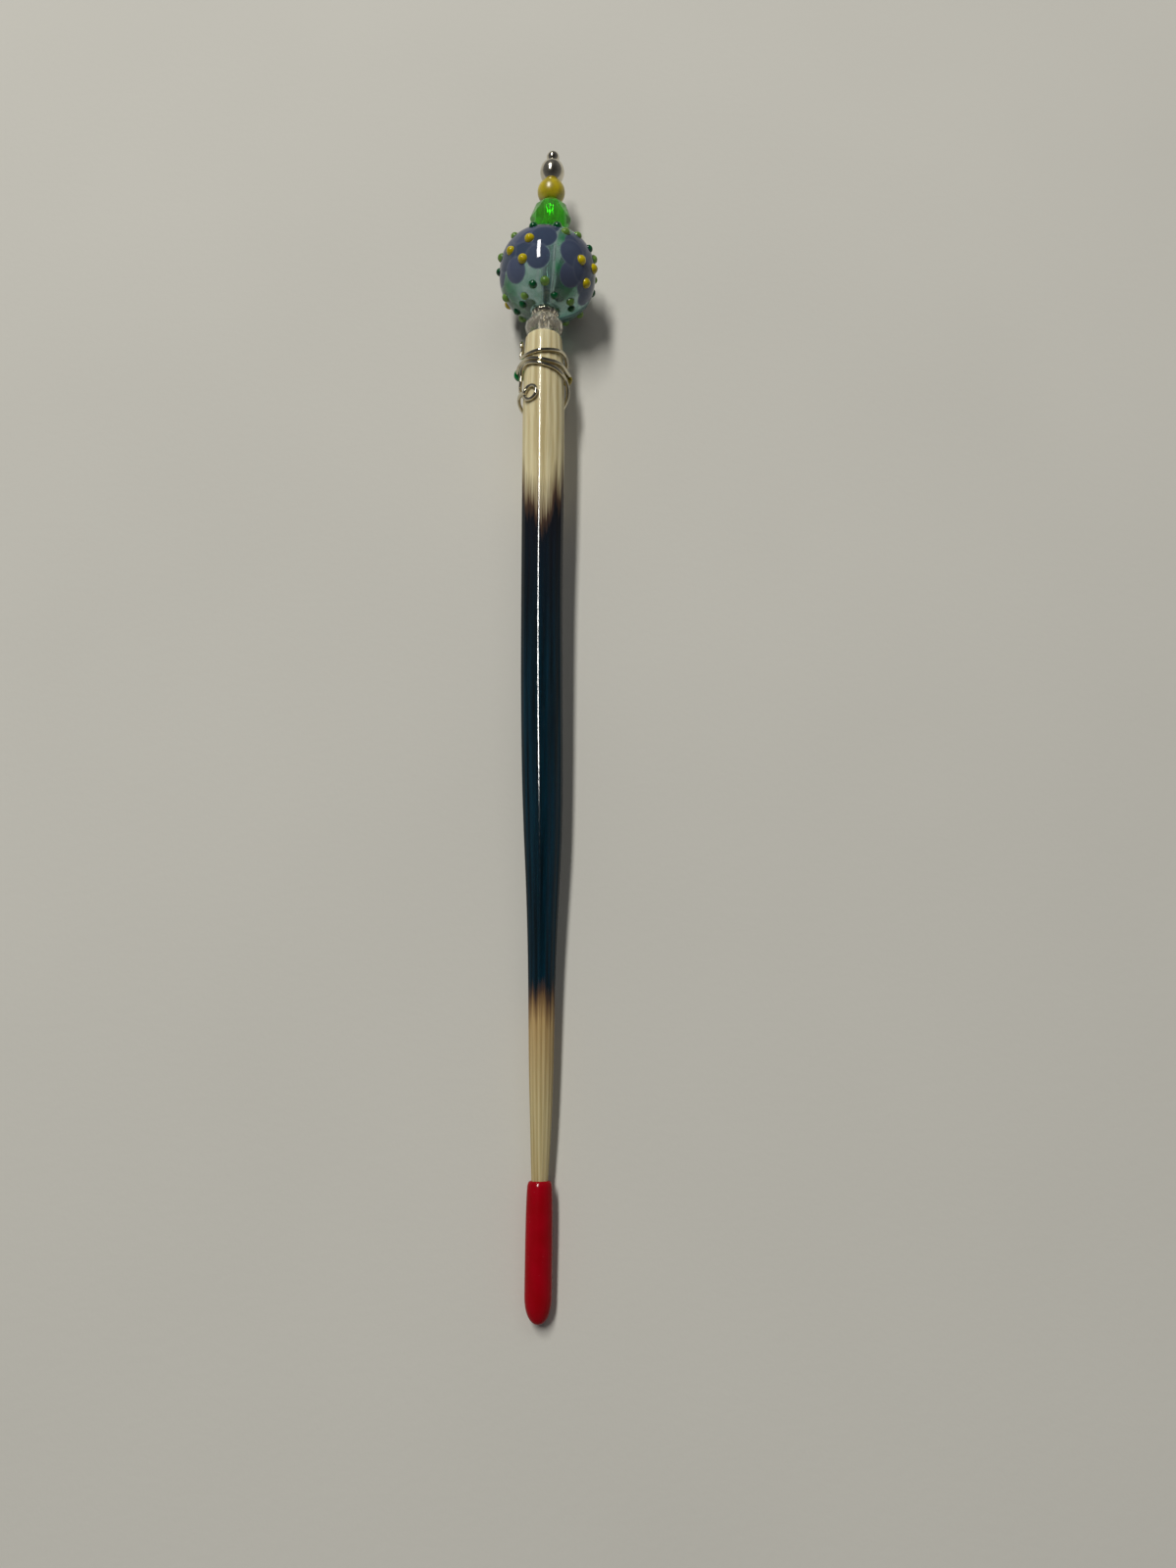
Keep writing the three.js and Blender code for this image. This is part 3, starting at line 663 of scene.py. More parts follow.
    # In the band the same mask gives real teal streaks, and painted shade that leaves the grooves
    # darker than the ridges
    dark = add(tree, "Mix", {0: stripe_and_groove_shade, 6: colours.band, 7: colours.band_ridge}, data_type="RGBA")
    rusty = add(tree, "MapRange", {
        "Value": (axes, "Y"), "From Min": RUST_FROM, "From Max": RUST_TO, "To Max": RUST,
    })
    dark_top = add(tree, "Mix", {
        0: rusty, 6: (dark, "Result"), 7: linear(BAND_RUST),
    }, data_type="RGBA")
    to_fringe = add(tree, "MapRange", {"Value": pale, "From Min": 0.05, "From Max": 0.45})
    to_cream = add(tree, "MapRange", {"Value": pale, "From Min": 0.35, "From Max": 1.0})
    fringe = add(tree, "Mix", {
        0: to_fringe, 6: (dark_top, "Result"), 7: colours.fringe,
    }, data_type="RGBA")
    colour = add(tree, "Mix", {
        0: to_cream, 6: (fringe, "Result"), 7: (pale_part, "Result"),
    }, data_type="RGBA")
    # Lengthwise grain of about 0.2 mm breaks up the gloss
    stretched = add(tree, "VectorMath", {0: place, 1: (1, 0.4, 1)}, operation="MULTIPLY")
    grain = add(tree, "TexNoise", {"Vector": stretched, "Scale": 5.0, "Detail": 3.0})
    bump = add(tree, "Bump", {"Height": grain, "Strength": 0.35, "Distance": 0.02 * MM})
    rough = add(tree, "MapRange", {
        "Value": grain, "From Min": 0.3, "From Max": 0.7, "To Min": 0.07, "To Max": 0.13,
    })
    feed(tree, shader, {"Base Color": (colour, "Result"), "Roughness": rough, "Normal": bump})
    fade_gloss(tree, shader, straight=0.85, glancing=0.03)
    return material


def vinyl():
    """Soft PVC, dip moulded: an even red with a smooth gloss, faint flow marks and few specks."""
    material, tree, shader = new_finish("cap PVC dip moulded", IOR=1.53)
    place = local_mm(tree)
    # Clouds of 2 mm, specks under 0.1 mm across about 0.7 mm apart, and waves of 0.9 mm
    cloud = add(tree, "TexNoise", {"Vector": place, "Scale": 0.5, "Detail": 2.0})
    share = add(tree, "MapRange", {"Value": cloud, "From Min": 0.3, "From Max": 0.7})
    body = add(tree, "Mix", {
        0: share, 6: settings("cap").vinyl, 7: linear(DEEP_VINYL),
    }, data_type="RGBA")
    speck = add(tree, "TexVoronoi", {"Vector": place, "Scale": 1.4})
    speck_share = add(tree, "MapRange", {
        "Value": speck, "From Min": 0.06, "From Max": 0.03, "To Max": 0.25,
    })
    colour = add(tree, "Mix", {
        0: speck_share, 6: (body, "Result"), 7: linear(VINYL_SPECK),
    }, data_type="RGBA")
    wave = add(tree, "TexNoise", {"Vector": place, "Scale": 1.1, "Detail": 2.0})
    bump = add(tree, "Bump", {"Height": wave, "Strength": 0.25, "Distance": 0.04 * MM})
    rough = add(tree, "MapRange", {"Value": cloud, "To Min": 0.13, "To Max": 0.2})
    feed(tree, shader, {"Base Color": (colour, "Result"), "Roughness": rough, "Normal": bump})
    fade_gloss(tree, shader, straight=0.35, glancing=0.05)
    return material


def silver(name, colour, roughness, where=STICK):
    """Silver plate, drawn or pressed and polished: a mirror with soft tarnish and fine scuffs."""
    material, tree, shader = new_finish(name, Metallic=1.0)
    place = local_mm(tree, where)
    # Tarnish in patches of 1 mm, and scuffs of 0.3 mm, which is coarser than the real ones
    tarnish = add(tree, "TexNoise", {"Vector": place, "Scale": 0.9, "Detail": 3.0})
    share = add(tree, "MapRange", {"Value": tarnish, "From Min": 0.35, "From Max": 0.7})
    dull = shaded(colour, 0.72)
    body = add(tree, "Mix", {0: share, 6: colour, 7: dull}, data_type="RGBA")
    rough = add(tree, "MapRange", {
        "Value": tarnish, "From Min": 0.3, "From Max": 0.7,
        "To Min": roughness, "To Max": 2 * roughness,
    })
    scuffs = add(tree, "TexNoise", {"Vector": place, "Scale": 3.0, "Detail": 2.0})
    bump = add(tree, "Bump", {"Height": scuffs, "Strength": 0.2, "Distance": 0.02 * MM})
    feed(tree, shader, {"Base Color": (body, "Result"), "Roughness": rough, "Normal": bump})
    return material


def cut_glass(name, colour, density, roughness, body, clear):
    """Glass, cut and fire polished: see-through, with softened facet edges and a tint that
    deepens with its thickness. The fine waviness of the polish breaks up its reflections."""
    material, tree, shader = new_finish(
        name, Base_Color=body, Roughness=roughness, IOR=1.52, Transmission_Weight=clear,
    )
    place = local_mm(tree)
    # Waves of 1.4 mm, about as wide as a facet
    wave = add(tree, "TexNoise", {"Vector": place, "Scale": 0.7, "Detail": 1.0})
    bump = add(tree, "Bump", {"Height": wave, "Strength": 0.1, "Distance": 0.02 * MM})
    feed(tree, shader, {"Normal": bump})
    volume = add(tree, "VolumeAbsorption", {"Color": colour, "Density": density})
    feed(tree, tree.nodes["Material Output"], {"Volume": volume})
    return material


def bead_glass(name, colour, deep, where, roughness=0.08, transmission=0.0, gloss=0.5):
    """Bead glass, wound, drawn or melted on: glossy and opaque or nearly so, with soft clouds of
    a deeper tone."""
    material, tree, shader = new_finish(
        name, IOR=1.52, Transmission_Weight=transmission, Specular_IOR_Level=gloss,
    )
    place = local_mm(tree, where)
    # Clouds of 1.2 mm, which stir the surface too
    cloud = add(tree, "TexNoise", {"Vector": place, "Scale": 0.8, "Detail": 2.0})
    share = add(tree, "MapRange", {"Value": cloud, "From Min": 0.35, "From Max": 0.68})
    body = add(tree, "Mix", {0: share, 6: colour, 7: deep}, data_type="RGBA")
    rough = add(tree, "MapRange", {
        "Value": cloud, "To Min": roughness, "To Max": 1.6 * roughness,
    })
    bump = add(tree, "Bump", {"Height": cloud, "Strength": 0.15, "Distance": 0.08 * MM})
    feed(tree, shader, {"Base Color": (body, "Result"), "Roughness": rough, "Normal": bump})
    return material


def flower_glass(where):
    """Lampwork glass, wound and melted flush: slate petals and streaky aqua under a clear, wet
    gloss. The aqua lets most of the light through, and the petals hardly any."""
    beads = settings("beads")
    material, tree, shader = new_finish("big bead lampwork glass", IOR=1.52)
    place = local_mm(tree, where)
    petal, petal_edge, tone, pale_line, green = (
        add(tree, "Attribute", attribute_name=name) for name in PAINTED
    )
    # The petals' edges are soft over about 0.3 mm, where the colours have run
    inside = add(tree, "MapRange", {
        "Value": (petal, "Fac"), "From Min": 0.14, "From Max": -0.18,
    }, interpolation_type="SMOOTHSTEP")
    # Swirls of 3 mm, drawn out along the stick as the rod was wound on
    swirl_at = add(tree, "VectorMath", {0: place, 1: (1, 0.45, 1)}, operation="MULTIPLY")
    swirl = add(tree, "TexNoise", {
        "Vector": swirl_at, "Scale": 0.32, "Detail": 3.0, "Distortion": 1.2,
    })
    aqua = add(tree, "ValToRGB", {0: swirl}, stops=[
        (0.3, linear(AQUA_SHADE)), (0.45, linear(AQUA_BODY)), (0.58, beads.aqua_glass),
        (0.72, linear(AQUA_PALE)),
    ])
    greener = add(tree, "MapRange", {"Value": (green, "Fac"), "To Max": 0.9})
    grown = add(tree, "Mix", {0: greener, 6: aqua, 7: beads.green_patch}, data_type="RGBA")
    line = add(tree, "MapRange", {
        "Value": (pale_line, "Fac"), "From Min": 0.32, "From Max": 0.06, "To Max": 0.7,
    }, interpolation_type="SMOOTHSTEP")
    streaked = add(tree, "Mix", {
        0: line, 6: (grown, "Result"), 7: linear(SEAM_GLASS),
    }, data_type="RGBA")
    shade = add(tree, "Mix", {
        0: (tone, "Fac"), 6: beads.petal_glass, 7: beads.pale_petal,
    }, data_type="RGBA")
    edge_line = add(tree, "MapRange", {"Value": (petal_edge, "Fac"), "To Max": 0.22})
    edged = add(tree, "Mix", {
        0: edge_line, 6: (shade, "Result"), 7: linear(PETAL_RIM),
    }, data_type="RGBA")
    colour = add(tree, "Mix", {
        0: inside, 6: (streaked, "Result"), 7: (edged, "Result"),
    }, data_type="RGBA")
    glassy = add(tree, "MapRange", {"Value": greener, "To Min": 0.75, "To Max": 0.45})
    clear = add(tree, "Mix", {0: inside, 2: glassy, 3: 0.1})
    wave = add(tree, "TexNoise", {"Vector": place, "Scale": 0.3, "Detail": 1.0})
    bump = add(tree, "Bump", {"Height": wave, "Strength": 0.2, "Distance": 0.3 * MM})
    rough = add(tree, "MapRange", {"Value": swirl, "To Min": 0.02, "To Max": 0.06})
    feed(tree, shader, {
        "Base Color": (colour, "Result"), "Roughness": rough, "Transmission Weight": clear,
        "Normal": bump,
    })
    fade_gloss(tree, shader, straight=0.5, glancing=0.15)
    return material


def paper():
    """Uncoated paper, pressed: a flat warm white with a faint tooth."""
    material, tree, shader = new_finish("paper pressed", Roughness=0.85, IOR=1.5)
    coordinates = add(tree, "TexCoord")
    # Clouds of 55 mm, and a tooth of 1 mm, which is drawn coarser than the real one to show
    cloud = add(tree, "TexNoise", {
        "Vector": (coordinates, "Object"), "Scale": 18.0, "Detail": 2.0,
    })
    share = add(tree, "MapRange", {
        "Value": cloud, "From Min": 0.3, "From Max": 0.7, "To Max": 0.35,
    })
    white = settings("stage").paper
    darker = shaded(white, 0.9)
    colour = add(tree, "Mix", {0: share, 6: white, 7: darker}, data_type="RGBA")
    tooth = add(tree, "TexNoise", {
        "Vector": (coordinates, "Object"), "Scale": 900.0, "Detail": 3.0,
    })
    bump = add(tree, "Bump", {"Height": tooth, "Strength": 0.25, "Distance": 0.1 * MM})
    feed(tree, shader, {"Base Color": (colour, "Result"), "Normal": bump})
    return material


# ---- operators --------------------------------------------------------------------------


class HAIRSTICK_OT_stage(bpy.types.Operator):
    """Lays the paper, hangs the two lamps and sets the camera over the stick"""

    bl_idname = "hairstick.stage"
    bl_label = "Set the Stage"

    FLOOR_SIZE = 3.0
    CAMERA_AT = (5.2 * MM, -59.39 * MM, 149.3 * MM)
    CAMERA_TILT_DEG = 16.5
    CAMERA_ROLL = -0.006  # radians
    LENS_MM = 27.0
    SENSOR_MM = 36
    NEAREST = 5 * MM  # what the camera still shows
    HORIZON = 0.17  # the strength of the room's light, which fades to the zenith
    ZENITH = 0.02
    ROOM_COLOUR = (0.97, 0.97, 1.0, 1.0)
    LAMP_COLOUR = (1.0, 0.985, 0.94)
    LONG_LAMP = {"name": "long_lamp", "place": (-0.4, 0.74, 1.3), "size": (0.17, 1.05)}
    BROAD_LAMP = {"name": "broad_lamp", "place": (0.3, 0.65, 0.8), "size": (0.6, 0.6)}

    def lamp(self, power, name, place, size):
        """A lamp that shines straight down."""
        bpy.ops.object.light_add(type="AREA", location=place)
        lamp = bpy.context.object
        lamp.name = name
        lamp.data.shape = "RECTANGLE"
        lamp.data.size, lamp.data.size_y = size
        lamp.data.energy = power
        lamp.data.color = self.LAMP_COLOUR
        return lamp

    def room(self):
        """The room's own light, which is bright at the horizon and dark overhead."""
        world = bpy.data.worlds.new("room")
        world.use_nodes = True
        tree = world.node_tree
        coordinates = add(tree, "TexCoord")
        up = add(tree, "SeparateXYZ", {0: (coordinates, "Generated")})
        strength = add(tree, "MapRange", {
            "Value": (up, "Z"), "To Min": self.HORIZON, "To Max": self.ZENITH,
        })
        feed(tree, tree.nodes["Background"], {"Color": self.ROOM_COLOUR, "Strength": strength})
        return world

    def execute(self, context):
        stage = settings("stage")
        bpy.ops.object.select_all(action="DESELECT")
        bpy.ops.mesh.primitive_plane_add(size=self.FLOOR_SIZE)
        floor = context.object
        floor.name = "floor"
        floor.data.materials.append(paper())
        self.lamp(stage.lamp_power, **self.LONG_LAMP)
        # The broad lamp only fills in: its own mirror image would veil the dark pieces
        self.lamp(stage.broad_power, **self.BROAD_LAMP).visible_glossy = False
        context.scene.world = self.room()
        bpy.ops.object.camera_add(
            location=self.CAMERA_AT,
            rotation=(math.radians(self.CAMERA_TILT_DEG), 0, self.CAMERA_ROLL),
        )
        camera = context.object
        camera.data.lens = self.LENS_MM
        camera.data.sensor_width = self.SENSOR_MM
        camera.data.clip_start = self.NEAREST
        context.scene.camera = camera
        context.scene.view_settings.view_transform = "Standard"
        return {"FINISHED"}


class HAIRSTICK_OT_quill(bpy.types.Operator):
    """Draws the quill from its sawn end to its point, with a groove between each two ridges"""

    bl_idname = "hairstick.quill"
    bl_label = "Shape the Quill"

    POINTS_PER_RIDGE = 4
    GROOVE_DEPTHS = (0.55, 1.25)  # the shallowest and the deepest, as shares of the ridge depth
    GROOVE_SEED = 7
    TIP_ROUND = 0.2 * MM
    FACE_DISH = 0.05 * MM  # how far the sawn face sinks towards the pin's hole
    HOLE_EDGE = 0.1 * MM

    def press_grooves(self, piece, ridges, share):
        """Presses the ring's grooves in, each by a depth of its own."""
        chance = random.Random(self.GROOVE_SEED)
        height = piece.data.vertices[0].co.z
        step = 2 * math.pi / (ridges * self.POINTS_PER_RIDGE)
        for groove in range(ridges):
            depth = share * chance.uniform(*self.GROOVE_DEPTHS)
            for offset, part in ((0, 1.0), (1, 0.5), (-1, 0.5)):
                angle = (groove * self.POINTS_PER_RIDGE + offset) * step
                pick(piece, lambda co: abs(
                    math.remainder(math.atan2(co.y, co.x) - angle, 2 * math.pi)) < step / 2)
                scale = 1 - depth * part
                bpy.ops.transform.resize(value=(scale, scale, 1), center_override=(0, 0, height))
        bpy.ops.mesh.select_all(action="SELECT")

    def execute(self, context):
        sizes = settings("quill")
        rim = QUILL_BUTT - BUTT_ROUND
        places = []
        for i in range(QUILL_ROWS + 1):
            along = rim + (QUILL_TIP - rim) * i / QUILL_ROWS
            radius, bow = quill_form(along)
            places.append((radius, along, bow))
        places.append((0, QUILL_TIP - self.TIP_ROUND, places[-1][2]))
        rim_radius = places[0][0]
        sides = sizes.ridges * self.POINTS_PER_RIDGE
        piece = ring("porcupine_quill", sides, rim_radius, rim)
        self.press_grooves(piece, sizes.ridges, sizes.ridge_depth / rim_radius)
        draw_up(places)
        pick(piece, lambda co: co.z > rim - POLE)
        face_radius = rim_radius - BUTT_ROUND
        dished = QUILL_BUTT - self.FACE_DISH
        draw_up([
            (rim_radius, rim, 0),
            (face_radius + 0.7 * BUTT_ROUND, rim + 0.7 * BUTT_ROUND, 0),
            (face_radius, QUILL_BUTT, 0),
            (face_radius - self.HOLE_EDGE, QUILL_BUTT, 0),
            (0.5 * face_radius, dished, 0),
            (PIN_HOLE_RADIUS + self.HOLE_EDGE, dished, 0),
            (PIN_HOLE_RADIUS, dished - self.HOLE_EDGE, 0),
            (PIN_HOLE_RADIUS, QUILL_BUTT - PIN_HOLE_DEPTH, 0),
            (0, QUILL_BUTT - PIN_HOLE_DEPTH, 0),
        ])
        # The first groove is half a ridge on from the first ridge
        groove = math.radians(FIRST_RIDGE + 180 / sizes.ridges)
        close_up(piece, STICK @ Matrix.Rotation(groove, 4, "Y"))
        smoothed(piece, 1)
        dress(piece, keratin(), "quill", "quill")
        return {"FINISHED"}


class HAIRSTICK_OT_cap(bpy.types.Operator):
    """Turns the soft cap with its round end, rolled lip and tapered bore"""

    bl_idname = "hairstick.cap"
    bl_label = "Shape the Cap"

    SIDES = 48
    END_ROWS = 14

    def execute(self, context):
        lip = CAP_LENGTH - CAP_LIP_RISE
        end = []
        for i in range(self.END_ROWS + 1):
            turn = math.pi / 2 * (1 - i / self.END_ROWS)
            end.append((
                CAP_RADIUS * math.cos(turn) ** CAP_BLUNTNESS,
                CAP_END_LENGTH * (1 - math.sin(turn) ** CAP_BLUNTNESS),
            ))
        outside = [
            *end,
            (CAP_RADIUS, 0.4 * CAP_LENGTH), (CAP_RADIUS, 0.6 * CAP_LENGTH),
            (CAP_RADIUS - 0.02 * MM, 0.8 * CAP_LENGTH),
            (CAP_MOUTH_RADIUS + 0.03 * MM, lip - 0.5 * MM),
            *arc(CAP_LIP_ROUND, CAP_LIP_RISE, 0, 90, 6, CAP_MOUTH_RADIUS - CAP_LIP_ROUND, lip),
        ]
        bore = [
            (quill_form(along)[0] + 3 * GAP, along)
            for along in (CAP_LENGTH, 0.95 * CAP_LENGTH, 0.5 * CAP_LENGTH, QUILL_TIP)
        ]
        outline = [*outside, *bore, (0, CAP_BORE_END)]
        places = [(radius, along, quill_form(along)[1]) for radius, along in outline]
        piece = lathe("vinyl_tip_cap", places, self.SIDES, STICK)
        smoothed(piece, 1)
        dress(piece, vinyl(), "cap", "tip_cap")
        return {"FINISHED"}


class HAIRSTICK_OT_pin(bpy.types.Operator):
    """Draws the pin out of the quill, through the beads and up to its round knob"""

    bl_idname = "hairstick.pin"
    bl_label = "Shape the Pin"

    SIDES = 24
    KNOB_ROWS = 12
    GLUE = 0.5 * MM  # between the pin's end and the bottom of its hole
    BEND_DEPTH = 0.5 * MM  # how far below the sawn end the pin starts to bend

    def execute(self, context):
        root = -PIN_HOLE_DEPTH + self.GLUE
        top = BEAD_AT["top"]
        knob_middle = top + 0.95 * PIN_KNOB_RADIUS
        neck = math.degrees(math.asin(PIN_RADIUS / PIN_KNOB_RADIUS)) - 90
        bend = math.tan(LEAN)
        # The part inside the quill keeps to the quill's axis, so it leans back from the beads
        stem = [
            (0, root, -bend * root), (PIN_RADIUS, root, -bend * root),
            (PIN_RADIUS, -self.BEND_DEPTH, 0.4 * bend * MM), (PIN_RADIUS, 0.4 * MM, 0),
            (PIN_RADIUS, 0.5 * top, 0), (PIN_RADIUS, top - 0.3 * MM, 0),
        ]
        knob = arc(
            PIN_KNOB_RADIUS, PIN_KNOB_RADIUS, neck, 90, self.KNOB_ROWS, height=knob_middle,
        )
        piece = lathe("silver_head_pin", [*stem, *knob], self.SIDES, PIN)
        smoothed(piece, 1)
        metal = silver("pin silver drawn", settings("metal").silver, 0.08, PIN)
        dress(piece, metal, "silver", "head_pin")
        return {"FINISHED"}


class HAIRSTICK_OT_cut_beads(bpy.types.Operator):
    """Cuts the clear bead and the green bead, whose rings of facets are staggered"""

    bl_idname = "hairstick.cut_beads"
    bl_label = "Cut the Faceted Beads"

    CLEAR_WEAR = 0.05 * MM  # the width of the worn edges between the facets
    GREEN_WEAR = 0.08 * MM
    FLATTEST_EDGE_DEG = 8  # that is still worn
    # The light that the glass lets through, how densely it takes up the rest, and its clear share
    CLEAR_TINT, CLEAR_DENSITY, CLEAR_SHARE = (0.94, 0.92, 0.84, 1), 30.0, 0.86
    GREEN_DENSITY, GREEN_SHARE = 420.0, 0.78
    POLISH = 0.05  # the roughness that fire polishing leaves

    def facet(self, name, rows, facets, where, edge):
        """A bored bead with triangular facets and slightly worn edges."""
        piece = lathe(name, bored(rows), facets, where, turn=math.pi / facets)
        bpy.ops.object.mode_set(mode="EDIT")
        bpy.ops.mesh.select_all(action="SELECT")
        bpy.ops.mesh.quads_convert_to_tris(quad_method="SHORTEST_DIAGONAL")
        bpy.ops.object.mode_set(mode="OBJECT")
        finish_with(piece, "BEVEL", width=edge, segments=2, limit_method="ANGLE",
                    angle_limit=math.radians(self.FLATTEST_EDGE_DEG))
        return piece

    def execute(self, context):
        radius, length = CLEAR_BEAD["radius"], CLEAR_BEAD["length"]
        rows = [
            (CLEAR_BEAD["face"], -length / 2), (0.94 * radius, -0.18 * length), (radius, 0),
            (0.94 * radius, 0.18 * length), (CLEAR_BEAD["face"], length / 2),
        ]
        clear = self.facet("clear_cut_bead", rows, CLEAR_BEAD["facets"], on_pin("clear"),
                           self.CLEAR_WEAR)
        glass = cut_glass("clear bead glass fire polished", self.CLEAR_TINT, self.CLEAR_DENSITY,
                          self.POLISH, linear(CLEAR_GLASS), self.CLEAR_SHARE)
        dress(clear, glass, "clear_glass", "clear_bead")
        radius, length = GREEN_BEAD["radius"], GREEN_BEAD["length"]
        rows = []
        for share in (-1, -0.62, 0, 0.62, 1):
            reach = max(1.3 * MM, radius * math.sqrt(1 - (0.97 * share) ** 2))
            rows.append((reach, share * length / 2))
        green = self.facet("green_cut_bead", rows, GREEN_BEAD["facets"],
                           on_pin("green", GREEN_OFFSET), self.GREEN_WEAR)
        glass = cut_glass("green bead glass fire polished", settings("beads").green_glass,
                          self.GREEN_DENSITY, self.POLISH, linear(LIT_GREEN_GLASS),
                          self.GREEN_SHARE)
        dress(green, glass, "green_glass", "green_bead")
        return {"FINISHED"}


class HAIRSTICK_OT_spacer(bpy.types.Operator):
    """Presses the fluted silver spacer"""

    bl_idname = "hairstick.spacer"
    bl_label = "Press the Spacer"

    RIM_ROWS = 8
    POINTS_PER_FLUTE = 4

    def execute(self, context):
        half = SPACER["length"] / 2
        outline = bored(arc(half, half, -90, 90, self.RIM_ROWS, SPACER["radius"] - half))
        sides = self.POINTS_PER_FLUTE * SPACER["flutes"]
        piece = ring("silver_fluted_spacer", sides, *outline[0])
        draw_up([(*place, 0) for place in outline])
        step = 2 * math.pi / sides
        for depth_share, columns in ((1.0, (2,)), (0.5, (1, 3))):
            pick(piece, lambda co: math.hypot(co.x, co.y) > SPACER["radius"] - 0.95 * half
                 and round(math.atan2(co.y, co.x) / step) % self.POINTS_PER_FLUTE in columns)
            scale = 1 - depth_share * SPACER["depth"] / SPACER["radius"]
            bpy.ops.transform.resize(value=(scale, scale, 1), center_override=(0, 0, 0))
        close_up(piece, on_pin("spacer"))
        smoothed(piece, 1)
        metal = silver("spacer silver pressed", settings("metal").silver, 0.07, PIN)
        dress(piece, metal, "silver", "silver_spacer")
        return {"FINISHED"}


class HAIRSTICK_OT_round_beads(bpy.types.Operator):
    """Turns the yellow glass bead and the silver bead at the top of the pin"""

    bl_idname = "hairstick.round_beads"
    bl_label = "Turn the Round Beads"

    SIDES = 40
    ROWS = 14
    EDGE_DEG = 40  # an edge round the bore that is sharper than this stays sharp

    def turn(self, name, bead, where):
        outline = oval(bead["radius"], bead["length"], BEAD_END_RADIUS, self.ROWS)
        piece = lathe(name, bored(outline), self.SIDES, where)
        smoothed(piece, 1, self.EDGE_DEG)
        return piece

    def execute(self, context):
        yellow = self.turn("yellow_glass_bead", YELLOW_BEAD, on_pin("yellow"))
        glass = bead_glass("yellow bead glass wound", settings("beads").yellow_glass,
                           linear(DEEP_YELLOW_GLASS), PIN, roughness=0.24, gloss=1.0)
        dress(yellow, glass, "yellow_glass", "yellow_bead")
        metal_bead = self.turn("silver_round_bead", SILVER_BEAD, on_pin("silver"))
        metal = silver("top bead silver pressed", settings("metal").silver, 0.13, PIN)
        dress(metal_bead, metal, "silver", "silver_bead")
        return {"FINISHED"}


